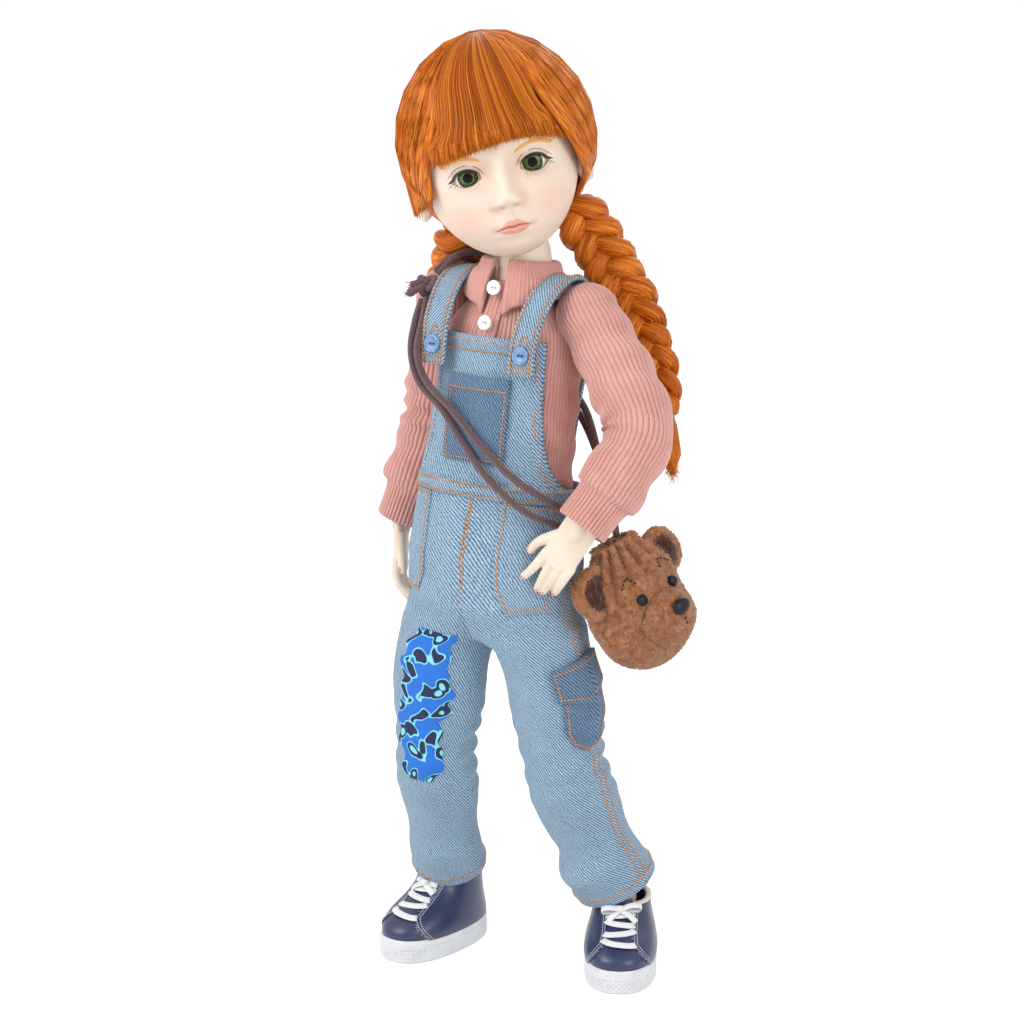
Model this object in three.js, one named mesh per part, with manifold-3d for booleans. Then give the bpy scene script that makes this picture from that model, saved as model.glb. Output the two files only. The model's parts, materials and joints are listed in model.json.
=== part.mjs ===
// A dressed fashion doll, 37 cm tall: a jointed vinyl body with inset eyes and a braided wig,
// in a ribbed knit shirt, denim overalls and lace-up shoes, with a plush shoulder bag.
// Millimetres, +Z up, the doll looks along -Y and its left side is +X. It stands in a pose:
// head turned to its left, left hand at the hip, legs apart.
import * as THREE from "three";
import { mergeVertices } from "three/addons/utils/BufferGeometryUtils.js";
import Module from "manifold-3d";

const V = (x, y, z) => new THREE.Vector3(x, y, z);
const radians = THREE.MathUtils.degToRad;

// Fits: the air between pieces that turn on each other, and between layers that lie on each other.
const runningGap = 0.3;
const layerGap = 0.35;

// Where the spine stands from the middle of the whole doll's outline on the floor.
const spineX = -8.4;
const spineY = -13.4;

// Stance on the floor
const leanBack = 6.5;
const leanLeft = 1.5;
const leftFootYaw = 28;
const rightFootYaw = -6;

// Vinyl torso, measured up from the hip joints
const neckBaseHeight = 117;
const hipHalfWidth = 28;
const hipHalfDepth = 18.5;
const waistHeight = 36;
const waistHalfWidth = 25;
const waistHalfDepth = 17;
const chestHeight = neckBaseHeight - 35;
const chestHalfWidth = 24.5;
const chestHalfDepth = 17.5;
const shoulderHeight = neckBaseHeight - 9;
const shoulderReach = 31.5;
const neckRadius = 10.6;
const neckBallRadius = 11.4;
const neckPivotHeight = neckBaseHeight + 9;

// Vinyl limbs
const hipReach = 17;
const thighLength = 69.6;
const thighRadius = 12;
const shinLength = 69.5;
const calfRadius = 9.2;
const kneeRadius = 9;
const ankleRadius = 6.8;
const upperArmLength = 52;
const upperArmRadius = 7.8;
const forearmLength = 43;
const forearmRadius = 6.6;
const elbowRadius = 6.3;
const wristRadius = 4.6;
const shoulderBallRadius = 6;
const hipBallRadius = 7;
const handHalfWidth = 8;
const fingerRadius = 2.1;
const fingerLength = 15;

// Reach of the limbs, in shares of their whole length: where the ankles lie from the hips and the
// wrists from the shoulders
const legLength = thighLength + shinLength;
const armLength = upperArmLength + forearmLength;
const ankleHeight = 26;
const hipHeight = ankleHeight + 0.949 * legLength;
const leftAnkle = V(hipReach + 0.1294 * legLength, 0.2876 * legLength, ankleHeight);
const rightAnkle = V(-hipReach - 0.1438 * legLength, 0.1797 * legLength, ankleHeight);
const leftWristReach = V(0.1545, -0.3066, -0.7837);
const rightWristReach = V(-0.2404, -0.0034, -0.9588);

// Head, measured up from the neck pivot
const headHalfWidth = 30.5;
const headHalfDepth = 33;
const headHalfHeight = 39;
const headCentre = V(0, -2, 42);
const headWall = 3;
const headTurn = 36;
const headRoll = -19;
const headNod = 7;
const eyeHeight = 39.2;
const eyeSpacing = 24.2;
const eyeRadius = 6.5;
const eyeSetBack = 4.4;

// Wig
const hairThickness = 8;
const fringeHeight = 49;
const fringeHalfWidth = 22;
const fringeTop = 72;
const braidRadius = 8.8;
const braidTipRadius = 4.6;

// Shirt and overalls
const shirtWall = 1.4;
const shirtEase = 1.6;
const denimWall = 1.2;
const sleeveRadius = 11;
const sleeveElbowRadius = 12.8;
const cuffRadius = 10.4;
const cuffLength = 11;
const trouserThighRadius = 17.4;
const trouserKneeRadius = 15;
const trouserHemRadius = 15.6;
const hemAboveAnkle = 9;
const bibHalfWidth = 23;
const bibTop = neckBaseHeight - 20;
const waistbandTop = 42;
const strapWidth = 10.5;
const strapX = 19.7;
const shirtButtonRadius = 2.7;
const strapButtonRadius = 3.4;
const buttonThickness = 1.6;

// Shoes
const soleHalfLength = 27.5;
const soleHalfWidth = 14.4;
const soleThickness = 9.4;
const ankleForward = 11;
const shoeTopHeight = 28;
const upperWall = 1.6;

// Bag
const bagHalfWidth = 21;
const bagHalfHeight = 25;
const bagHalfDepth = 14;
const bagPlace = V(53.5, 17.6, hipHeight - 2.5);
const snoutRadius = 12;
const earRadius = 10;
const cordRadius = 1.4;
const cordEndRadius = 2.3;

// Joining and cutting of closed meshes
const wasm = await Module();
wasm.setup();

function solidOf(geometry) {
  const bare = geometry.clone();
  for (const name of Object.keys(bare.attributes)) if (name !== "position") bare.deleteAttribute(name);
  const merged = mergeVertices(bare, 1e-4);
  const mesh = new wasm.Mesh({
    numProp: 3,
    vertProperties: new Float32Array(merged.attributes.position.array),
    triVerts: new Uint32Array(merged.index.array),
  });
  return new wasm.Manifold(mesh);
}

function geometryOf(solid) {
  const mesh = solid.getMesh();
  return new THREE.BufferGeometry()
    .setAttribute("position", new THREE.BufferAttribute(mesh.vertProperties, 3))
    .setIndex(new THREE.BufferAttribute(mesh.triVerts, 1));
}

const join = (...shapes) => geometryOf(shapes.map(solidOf).reduce((a, b) => a.add(b)));
const cut = (shape, ...tools) =>
  geometryOf(tools.map(solidOf).reduce((a, b) => a.subtract(b), solidOf(shape)));
const shared = (shape, other) => geometryOf(solidOf(shape).intersect(solidOf(other)));

// The largest of the bodies that a cut leaves.
function mainBody(shape) {
  const bodies = solidOf(shape).decompose();
  return geometryOf(bodies.reduce((a, b) => (a.volume() > b.volume() ? a : b)));
}

// An oval ring of points. Over 2, square fills its corners; taper narrows its back and widens its front.
function ring(z, halfWidth, halfDepth, { x = 0, y = 0, square = 2, taper = 0, sides = 16 } = {}) {
  return Array.from({ length: sides }, (_, i) => {
    const a = (i / sides) * 2 * Math.PI;
    const power = 2 / square;
    const across = Math.sign(Math.cos(a)) * Math.abs(Math.cos(a)) ** power;
    const along = Math.sign(Math.sin(a)) * Math.abs(Math.sin(a)) ** power;
    return V(x + halfWidth * across * (1 - taper * along), y + halfDepth * along, z);
  });
}

// A skin over a row of rings: capped at both ends, or joined end to end as a loop.
function skin(rings, loop = false) {
  const sides = rings[0].length;
  const points = rings.flat();
  const faces = [];
  for (let r = 0; r < rings.length - (loop ? 0 : 1); r++) {
    const here = r * sides;
    const next = ((r + 1) % rings.length) * sides;
    for (let i = 0; i < sides; i++) {
      const j = (i + 1) % sides;
      faces.push([here + i, here + j, next + j], [here + i, next + j, next + i]);
    }
  }
  if (!loop) {
    const ends = [[0, true], [(rings.length - 1) * sides, false]];
    for (const [start, reversed] of ends) {
      const middle = points.length;
      const sum = points.slice(start, start + sides).reduce((a, p) => a.add(p), V(0, 0, 0));
      points.push(sum.divideScalar(sides));
      for (let i = 0; i < sides; i++) {
        const edge = [start + i, start + ((i + 1) % sides)];
        faces.push([middle, ...(reversed ? edge.reverse() : edge)]);
      }
    }
  }
  const volume = faces.reduce((v, [a, b, c]) => v + points[a].dot(points[b].clone().cross(points[c])), 0);
  const outward = volume > 0 ? faces : faces.map(([a, b, c]) => [a, c, b]);
  return new THREE.BufferGeometry()
    .setAttribute("position", new THREE.Float32BufferAttribute(points.flatMap((p) => p.toArray()), 3))
    .setIndex(outward.flat());
}

// A tube wall: the outer rings down one way, the inner rings back.
const wall = (outer, inner) => skin([...outer, ...[...inner].reverse()], true);

function ball(radius, at = V(0, 0, 0), stretch = V(1, 1, 1), detail = 12) {
  return new THREE.SphereGeometry(radius, detail, Math.round(detail / 2) + 1)
    .rotateX(Math.PI / 2)
    .scale(stretch.x, stretch.y, stretch.z)
    .translate(at.x, at.y, at.z);
}

// Room for a ball to turn in. The ball and its room have flat faces, so the air is twice the gap.
const socket = (radius, at, detail) => ball(radius + 2 * runningGap, at, V(1, 1, 1), detail);

function box(low, high) {
  const size = high.clone().sub(low);
  const middle = low.clone().add(high).divideScalar(2);
  return new THREE.BoxGeometry(size.x, size.y, size.z).translate(middle.x, middle.y, middle.z);
}

function pin(radius, from, to, sides = 14) {
  const along = to.clone().sub(from);
  const turn = new THREE.Quaternion().setFromUnitVectors(V(0, 1, 0), along.clone().normalize());
  const middle = from.clone().add(to).divideScalar(2);
  return new THREE.CylinderGeometry(radius, radius, along.length(), sides)
    .applyQuaternion(turn)
    .translate(middle.x, middle.y, middle.z);
}

// Rings square to a curved centre line, turned so that their width lies along the hinge.
function ringsAlong(line, stops, hinge, halfSizes, sides = 16) {
  return stops.map((t) => {
    const at = line.getPointAt(t);
    const down = line.getTangentAt(t);
    const forward = down.clone().cross(hinge).normalize();
    const side = forward.clone().cross(down);
    const [halfWidth, halfDepth] = halfSizes(t);
    return Array.from({ length: sides }, (_, i) => {
      const a = (i / sides) * 2 * Math.PI;
      return at
        .clone()
        .addScaledVector(side, halfWidth * Math.cos(a))
        .addScaledVector(forward, halfDepth * Math.sin(a));
    });
  });
}

const evenly = (from, to, count) =>
  Array.from({ length: count }, (_, i) => from + ((to - from) * i) / (count - 1));

// A smooth reading between marks, given as pairs of place and value.
function between(marks, at) {
  const last = marks.length - 1;
  if (at <= marks[0][0]) return marks[0][1];
  if (at >= marks[last][0]) return marks[last][1];
  const i = marks.findIndex(([place]) => place > at);
  const share = (at - marks[i - 1][0]) / (marks[i][0] - marks[i - 1][0]);
  const eased = share * share * (3 - 2 * share);
  return marks[i - 1][1] + (marks[i][1] - marks[i - 1][1]) * eased;
}

// A tube along a curve, for a cord.
function cordAlong(points, radius, steps, sides = 8) {
  const section = Array.from({ length: sides }, (_, i) => {
    const a = (i / sides) * 2 * Math.PI;
    return new THREE.Vector2(radius * Math.cos(a), radius * Math.sin(a));
  });
  return new THREE.ExtrudeGeometry(new THREE.Shape(section), {
    steps,
    bevelEnabled: false,
    extrudePath: new THREE.CatmullRomCurve3(points, false, "centripetal"),
  });
}

// Materials
const vinyl = new THREE.MeshStandardMaterial({ color: 0xead8c6, roughness: 0.55 });
const jointVinyl = new THREE.MeshStandardMaterial({ color: 0xe2cdb8, roughness: 0.6 });
const eyeGlass = new THREE.MeshStandardMaterial({ color: 0x55664a, roughness: 0.1 });
const hair = new THREE.MeshStandardMaterial({ color: 0xa8500f, roughness: 0.45 });
const elastic = new THREE.MeshStandardMaterial({ color: 0xb9b4ae, roughness: 0.7 });
const knit = new THREE.MeshStandardMaterial({ color: 0xd79b8f, roughness: 0.95 });
const shellButton = new THREE.MeshStandardMaterial({ color: 0xf2efed, roughness: 0.25 });
const denim = new THREE.MeshStandardMaterial({ color: 0x7c9cb8, roughness: 0.95 });
const darkDenim = new THREE.MeshStandardMaterial({ color: 0x4d6f8e, roughness: 0.95 });
const blueButton = new THREE.MeshStandardMaterial({ color: 0x4f7096, roughness: 0.35 });
const patchFelt = new THREE.MeshStandardMaterial({ color: 0x1463c0, roughness: 0.7 });
const shoeLeather = new THREE.MeshStandardMaterial({ color: 0x1d2744, roughness: 0.4 });
const soleRubber = new THREE.MeshStandardMaterial({ color: 0xe9e8ec, roughness: 0.6 });
const laceCotton = new THREE.MeshStandardMaterial({ color: 0xf4f4f4, roughness: 0.9 });
const plush = new THREE.MeshStandardMaterial({ color: 0x9a6340, roughness: 1 });
const bagCord = new THREE.MeshStandardMaterial({ color: 0x5a4348, roughness: 0.9 });

const doll = new THREE.Group();
doll.position.set(spineX, spineY, 0);

function piece(parent, name, geometry, material) {
  const mesh = new THREE.Mesh(geometry, material);
  mesh.name = name;
  parent.add(mesh);
}

// A group at a joint: its -Z runs along the limb, its -Y faces the front, and the hinge is its X.
function jointFrame(parent, name, at, along, hinge) {
  const up = along.clone().negate().normalize();
  const back = up.clone().cross(hinge).normalize();
  const group = new THREE.Group();
  group.name = name;
  group.position.copy(at);
  group.quaternion.setFromRotationMatrix(new THREE.Matrix4().makeBasis(back.clone().cross(up), back, up));
  doll.add(group);
  doll.updateMatrixWorld(true);
  parent.attach(group);
  return group;
}

// Shapes made in one frame, moved into another.
function moved(geometry, from, to) {
  doll.updateMatrixWorld(true);
  return geometry.clone().applyMatrix4(to.matrixWorld.clone().invert().multiply(from.matrixWorld));
}

function pointInDoll(point, from) {
  doll.updateMatrixWorld(true);
  return point.clone().applyMatrix4(doll.matrixWorld.clone().invert().multiply(from.matrixWorld));
}

// Where the middle joint of a two-part limb lies when both its ends are held.
function middleJoint(from, to, upper, lower, towards) {
  const reach = to.clone().sub(from);
  const length = Math.min(reach.length(), (upper + lower) * 0.9995);
  const along = reach.clone().normalize();
  const share = (upper * upper - lower * lower + length * length) / (2 * length);
  const out = towards.clone().addScaledVector(along, -towards.dot(along)).normalize();
  return from.clone().addScaledVector(along, share).addScaledVector(out, Math.sqrt(upper ** 2 - share ** 2));
}

// Torso
const torso = new THREE.Group();
torso.name = "torso_body";
torso.position.set(0, 0, hipHeight);
torso.rotation.set(radians(-leanBack), radians(leanLeft), 0);
doll.add(torso);

const torsoWidths = [[-9, 5], [-3, 14], [6, hipHalfWidth - 3], [16, hipHalfWidth],
  [waistHeight, waistHalfWidth], [chestHeight, chestHalfWidth], [shoulderHeight - 4, chestHalfWidth - 1.5],
  [shoulderHeight + 5, chestHalfWidth - 9], [neckBaseHeight, neckRadius + 1]];
const torsoDepths = [[-9, 7], [-3, hipHalfDepth - 5], [8, hipHalfDepth - 3], [20, hipHalfDepth],
  [waistHeight, waistHalfDepth], [chestHeight, chestHalfDepth], [shoulderHeight - 6, chestHalfDepth - 2],
  [shoulderHeight + 5, chestHalfDepth - 5.5], [neckBaseHeight, neckRadius]];
const torsoLevels = [-9, -3, 6, 16, 26, waistHeight, 60, chestHeight, 94, shoulderHeight - 4,
  shoulderHeight + 2, shoulderHeight + 6, neckBaseHeight];

const torsoRing = (z, grow) =>
  ring(z, between(torsoWidths, z) + grow, between(torsoDepths, z) + grow, { square: 2.2 });
const torsoSolid = (grow, from = torsoLevels[0], to = neckBaseHeight) =>
  skin([from, ...torsoLevels.filter((z) => z > from && z < to), to].map((z) => torsoRing(z, grow)));

const neckBallDetail = 18;
const neck = skin([neckBaseHeight - 6, neckPivotHeight - 4].map((z) => ring(z, neckRadius, neckRadius)));
const shoulderPinRadius = 2.4;
const shoulderPinDepth = 15;
const hipPinRadius = 3;
const sides = { left: 1, right: -1 };
const shoulderAt = (sign) => V(sign * shoulderReach, 0, shoulderHeight);
const hipAt = (sign) => V(sign * hipReach, 0, 0);
const armSweep = upperArmRadius + 2;
const thighSweep = thighRadius + 3;
const sidePair = (make) => Object.values(sides).map(make);
const torsoShape = cut(
  join(torsoSolid(0), neck),
  socket(neckBallRadius, V(0, 0, neckPivotHeight), neckBallDetail),
  ...sidePair((sign) => ball(armSweep, shoulderAt(sign))),
  ...sidePair((sign) => ball(thighSweep, hipAt(sign))),
  ...sidePair((sign) => {
    const inner = shoulderAt(sign).sub(V(sign * (shoulderPinDepth + 0.5), 0, 0));
    return pin(shoulderPinRadius + runningGap, shoulderAt(sign), inner);
  }),
  pin(hipPinRadius + runningGap, hipAt(-1), hipAt(1)),
);
piece(torso, "torso", torsoShape, vinyl);

// Neck ball: it turns on the neck, and the head nods on it
const neckBall = new THREE.Group();
neckBall.name = "neck";
neckBall.position.set(0, 0, neckPivotHeight);
neckBall.rotation.z = radians(headTurn);
torso.add(neckBall);
piece(neckBall, "neck_ball", ball(neckBallRadius, V(0, 0, 0), V(1, 1, 1), neckBallDetail), vinyl);

// Head: a hollow vinyl shell with open eye sockets, and a socket below for the neck ball
const head = new THREE.Group();
head.name = "head";
head.rotation.set(radians(headNod), radians(headRoll), 0);
neckBall.add(head);

// An oval of the head at a height: full cheeks, a small chin, a round skull.
function headRing(z, grow) {
  const rise = Math.max(-0.999, Math.min(0.999, (z - headCentre.z) / (headHalfHeight + grow)));
  const round = Math.sqrt(1 - rise * rise);
  const cheek = rise < 0 ? 0.09 * Math.sin(Math.min(1, -rise * 1.25) * Math.PI) : 0;
  const width = (headHalfWidth + grow) * (round + cheek);
  const depth = (headHalfDepth + grow) * (round + cheek * 0.6);
  return ring(z, width, depth, { y: headCentre.y, sides: 20 });
}

function headSolid(grow, levels = 13) {
  const reach = headHalfHeight + grow;
  const heights = evenly(-90, 90, levels).map((a) => headCentre.z + reach * 0.999 * Math.sin(radians(a)));
  return skin(heights.map((z) => headRing(z, grow)));
}

const faceDepth = (x, z) =>
  headHalfDepth * Math.sqrt(1 - (x / headHalfWidth) ** 2 - ((z - headCentre.z) / headHalfHeight) ** 2);
const eyePlaces = sidePair((sign) => {
  const x = (sign * eyeSpacing) / 2;
  return V(x, headCentre.y - faceDepth(x, eyeHeight) + eyeSetBack, eyeHeight);
});
const noseTip = V(0, headCentre.y - headHalfDepth - 1.5, 26.5);
const nose = ball(3.4, noseTip.clone().add(V(0, 2.2, 0)), V(1, 1.3, 0.9), 8);
const lips = ball(4, V(0, headCentre.y - headHalfDepth + 6.2, 16), V(1.2, 1, 0.6), 8);
const chin = ball(6.5, V(0, headCentre.y - headHalfDepth + 15.5, 9), V(1.3, 1, 0.9), 8);
const earSolid = (grow) =>
  sidePair((sign) => ball(5.2 + grow, V(sign * (headHalfWidth - 0.6), 5, 30), V(0.55, 0.8, 1.25), 8));
const eyeHollows = eyePlaces.map((p) => {
  return ball(6, p.clone().add(V(0, -eyeSetBack - 4.2, 0.5)), V(1.25, 0.9, 0.9), 8);
});
const neckOpening = pin(4, V(0, 0, 0), V(0, 0, 20), 10);
const headShell = cut(
  join(cut(headSolid(0), ...eyeHollows), nose, lips, chin, ...earSolid(0)),
  headSolid(-headWall, 9),
  socket(neckBallRadius, V(0, 0, 0), neckBallDetail),
  neckOpening,
  ...eyePlaces.map((p) => socket(eyeRadius, p)),
);
piece(head, "head_shell", mainBody(headShell), vinyl);
Object.keys(sides).forEach((side, i) => piece(head, `eye_${side}`, ball(eyeRadius, eyePlaces[i]), eyeGlass));

// Wig: a cap of combed hair with a window for the face, and the fringe that hangs in it
const hairCentre = V(0, 1.5, headCentre.z + 2);
const hairSolid = (grow) =>
  skin(
    evenly(-90, 90, 11).map((a) => {
      const round = Math.cos(radians(a) * 0.999);
      const z = hairCentre.z + (headHalfHeight + 3.5 + grow) * Math.sin(radians(a));
      const depth = (headHalfDepth + hairThickness + grow) * round;
      const width = (headHalfWidth + hairThickness + 1 + grow) * round;
      return ring(z, width, depth, { y: hairCentre.y, sides: 24 });
    }),
  );
const scalp = headSolid(layerGap);
const faceBack = -6;
const farOut = 60;
const windowHalfWidth = fringeHalfWidth + 4;
const faceWindow = box(V(-windowHalfWidth, -farOut, -10), V(windowHalfWidth, faceBack, fringeTop));
const belowFringe = box(V(-farOut, -farOut, -10), V(farOut, 8, 34));
const underNape = box(V(-farOut, -farOut, -20), V(farOut, farOut, 14));
const cap = cut(hairSolid(0), scalp, faceWindow, belowFringe, underNape, ...earSolid(layerGap));
piece(head, "wig_cap", mainBody(cap), hair);
const fringeBlock = box(
  V(-windowHalfWidth + layerGap, -farOut, fringeHeight),
  V(windowHalfWidth - layerGap, faceBack - layerGap, fringeTop - layerGap),
);
piece(head, "fringe", mainBody(cut(shared(hairSolid(0), fringeBlock), scalp)), hair);

// Braids: three locks plaited together swell and draw in down their length, to a tie and a tuft
const across = V(1, 0, 0);
const tieAt = 0.8;
const tieHalfLength = 0.02;
function braid(side, fromNeck) {
  const points = fromNeck.map(({ x, y, z }) => V(x, y, hipHeight + neckPivotHeight + z));
  const line = new THREE.CatmullRomCurve3(points, false, "centripetal");
  const swells = 7;
  const plait = (t) => {
    const share = t / tieAt;
    const swell = 1 + 0.12 * Math.cos(share * swells * 2 * Math.PI);
    const r = (braidRadius + (braidTipRadius - braidRadius) * share) * swell;
    return [r, r * 0.82];
  };
  const drawnIn = braidTipRadius * 0.72;
  const body = skin(ringsAlong(line, evenly(0, tieAt - 2 * tieHalfLength, 2 * swells + 1), across, plait, 9));
  const tuftSizes = [[tieAt - 3 * tieHalfLength, drawnIn], [tieAt + tieHalfLength, drawnIn],
    [tieAt + 3 * tieHalfLength, braidTipRadius * 1.1], [1, braidTipRadius * 0.5]];
  const tuft = skin(tuftSizes.map(([t, r]) => ringsAlong(line, [t], across, () => [r, r], 9)[0]));
  const wigRoom = moved(hairSolid(layerGap), head, doll);
  const plaited = mainBody(cut(join(body, tuft), wigRoom));
  piece(neckBall, `braid_${side}`, moved(plaited, doll, neckBall), hair);
  const tieStops = [tieAt - tieHalfLength * 0.8, tieAt + tieHalfLength * 0.8];
  const tie = (r) => ringsAlong(line, tieStops, across, () => [r, r], 12);
  const band = wall(tie(drawnIn + layerGap + 1.3), tie(drawnIn + layerGap));
  piece(neckBall, `hair_tie_${side}`, moved(band, doll, neckBall), elastic);
}
braid("left", [
  V(16, 30, 19), V(27, 35, 0), V(41, 37, -22), V(51, 37, -44), V(57, 34, -64), V(60, 32, -81),
]);
braid("right", [
  V(-18, 27, 21), V(-28, 31, 7), V(-36, 36, -9), V(-41.5, 39, -28), V(-45, 39, -48), V(-47, 38, -67),
  V(-48, 37, -84),
]);

// A hand: palm, four fingers and a thumb. Its back faces -Y; the thumb is on the side of the sign.
function handShape(sign) {
  const wristBall = ball(wristRadius, V(0, 0, 0), V(1, 1, 1), 10);
  const palmSizes = [[-2, wristRadius - 0.8, wristRadius - 1.2], [-7, wristRadius + 1, wristRadius - 1],
    [-12, handHalfWidth - 0.8, 3.5], [-18, handHalfWidth - 0.4, 2.7]];
  const palm = skin(palmSizes.map(([z, w, d]) => ring(z, w, d, { sides: 10, square: 2.4 })));
  const finger = (from, to, droop, radius) => {
    const middle = from.clone().lerp(to, 0.5).add(V(0, -droop, 0));
    const line = new THREE.CatmullRomCurve3([from, middle, to]);
    const size = (t) => Array(2).fill(t === 1 ? 0.9 : radius * (1 - 0.25 * t));
    return skin(ringsAlong(line, [0, 0.5, 0.92, 1], across, size, 6));
  };
  const spacing = (2 * (handHalfWidth - fingerRadius)) / 3;
  const fingers = [0.92, 1, 0.96, 0.8].map((share, i) => {
    const x = sign * (handHalfWidth - fingerRadius - i * spacing);
    const fan = sign * (1.8 - 1.3 * i);
    return finger(V(x, 0, -16), V(x + fan, 2.5, -17 - fingerLength * share), 1.2, fingerRadius);
  });
  const thumbTip = V(sign * (handHalfWidth + 3.5), 3.5, -20);
  const thumb = finger(V(sign * (handHalfWidth - 3), 0.5, -7), thumbTip, 0.4, 2.4);
  return join(wristBall, palm, ...fingers, thumb);
}

const limb = (stops) => skin(stops.map(([down, r]) => ring(-down, r, r, { sides: 12 })));

// A cloth tube round a limb's centre line, between two shares of its length.
const clothTube = (line, stops, hinge, radius, thickness) =>
  wall(
    ringsAlong(line, stops, hinge, (t) => [radius(t), radius(t)], 12),
    ringsAlong(line, stops, hinge, (t) => [radius(t) - thickness, radius(t) - thickness], 12),
  );

// Arms, each with a sleeve: one knit tube over the arm, in two lengths that meet above the elbow
const capEnd = 6;
const sleeveSplit = 0.66;
const arms = {
  left: {
    wristReach: leftWristReach,
    elbowTo: V(0.95, 0.3, 0),
    handTo: V(-0.55, -0.07, -0.83),
    handBack: V(0.4, -0.9, 0.1),
  },
  right: {
    wristReach: rightWristReach,
    elbowTo: V(0.3, 1, 0),
    handTo: V(0.14, -0.25, -0.95),
    handBack: V(-0.93, -0.35, 0),
  },
};
const sleeveBores = [];
for (const [side, arm] of Object.entries(arms)) {
  const sign = sides[side];
  const shoulder = pointInDoll(shoulderAt(sign), torso);
  const wrist = shoulder.clone().addScaledVector(arm.wristReach, armLength);
  const elbow = middleJoint(shoulder, wrist, upperArmLength, forearmLength, arm.elbowTo);
  const upperWay = elbow.clone().sub(shoulder);
  const lowerWay = wrist.clone().sub(elbow);
  const hinge = lowerWay.clone().cross(upperWay);

  // Shoulder link: its pin turns in the torso, and the arm tilts on its ball
  const link = new THREE.Group();
  link.name = `shoulder_${side}`;
  link.position.copy(shoulderAt(sign));
  torso.add(link);
  const linkPin = pin(shoulderPinRadius, V(0, 0, 0), V(-sign * shoulderPinDepth, 0, 0));
  piece(link, `shoulder_link_${side}`, join(ball(shoulderBallRadius), linkPin), jointVinyl);

  const upper = jointFrame(link, `arm_${side}`, shoulder, upperWay, hinge);
  const upperArm = cut(
    limb([[2.8, upperArmRadius - 0.8], [7, upperArmRadius], [36, upperArmRadius - 0.6],
      [upperArmLength - 5.5, elbowRadius + 0.2]]),
    socket(shoulderBallRadius),
    socket(elbowRadius, V(0, 0, -upperArmLength)),
  );
  piece(upper, `upper_arm_${side}`, upperArm, vinyl);

  const fore = jointFrame(upper, `elbow_${side}`, elbow, lowerWay, hinge);
  const forearm = cut(
    join(ball(elbowRadius),
      limb([[1, elbowRadius - 1.3], [8, elbowRadius - 1], [16, forearmRadius], [30, forearmRadius - 0.8],
        [forearmLength - 2.5, wristRadius + 0.7]])),
    socket(wristRadius, V(0, 0, -forearmLength)),
  );
  piece(fore, `forearm_${side}`, forearm, vinyl);

  const handHinge = arm.handBack.clone().cross(arm.handTo);
  const hand = jointFrame(fore, `wrist_${side}`, wrist, arm.handTo, handHinge);
  piece(hand, `hand_${side}`, handShape(-sign), vinyl);

  const insideElbow = shoulder.clone().lerp(wrist, 0.5).sub(elbow).multiplyScalar(0.14);
  const sleeveWay = [shoulder, shoulder.clone().lerp(elbow, 0.6), elbow.clone().add(insideElbow),
    elbow.clone().lerp(wrist, 0.5), elbow.clone().lerp(wrist, 0.97)];
  const line = new THREE.CatmullRomCurve3(sleeveWay, false, "centripetal");
  const share = (length) => length / line.getLength();
  const cuffAt = 1 - share(cuffLength);
  const girths = [[0, sleeveRadius], [0.14, sleeveRadius], [0.3, sleeveElbowRadius],
    [0.55, sleeveElbowRadius], [cuffAt - 0.04, cuffRadius + 1.6], [cuffAt, cuffRadius + 0.4],
    [1, cuffRadius]];
  const radius = (t) => between(girths, t);
  const split = share(upperArmLength * sleeveSplit);
  const bare = moved(torsoSolid(layerGap), torso, doll);
  const upperStops = [share(capEnd), 0.16, 0.27, split];
  const upperSleeve = mainBody(cut(clothTube(line, upperStops, hinge, radius, shirtWall), bare));
  piece(upper, `sleeve_upper_${side}`, moved(upperSleeve, doll, upper), knit);
  const lowerStops = [split + share(layerGap), 0.47, 0.55, 0.65, cuffAt - 0.04, cuffAt, 1];
  const lowerSleeve = clothTube(line, lowerStops, hinge, radius, shirtWall);
  piece(fore, `sleeve_lower_${side}`, moved(lowerSleeve, doll, fore), knit);
  const bore = ringsAlong(line, [share(capEnd - layerGap), 0.14, 0.22, 0.3, 0.5], hinge, (t) => {
    return Array(2).fill(radius(t) + 2 * layerGap);
  });
  sleeveBores.push(moved(skin(bore), doll, torso));
}

// Legs and shoes
const legs = {
  left: { ankle: leftAnkle, yaw: leftFootYaw, kneeTo: V(-0.1, -1, 0), clothHangs: V(-3, -1.8, 0) },
  right: { ankle: rightAnkle, yaw: rightFootYaw, kneeTo: V(-0.1, -1, 0), clothHangs: V(0, 0, 0) },
};
const seatEnd = 24;
const trouserSplit = 64;
const footBallRadius = 5.6;

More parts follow.
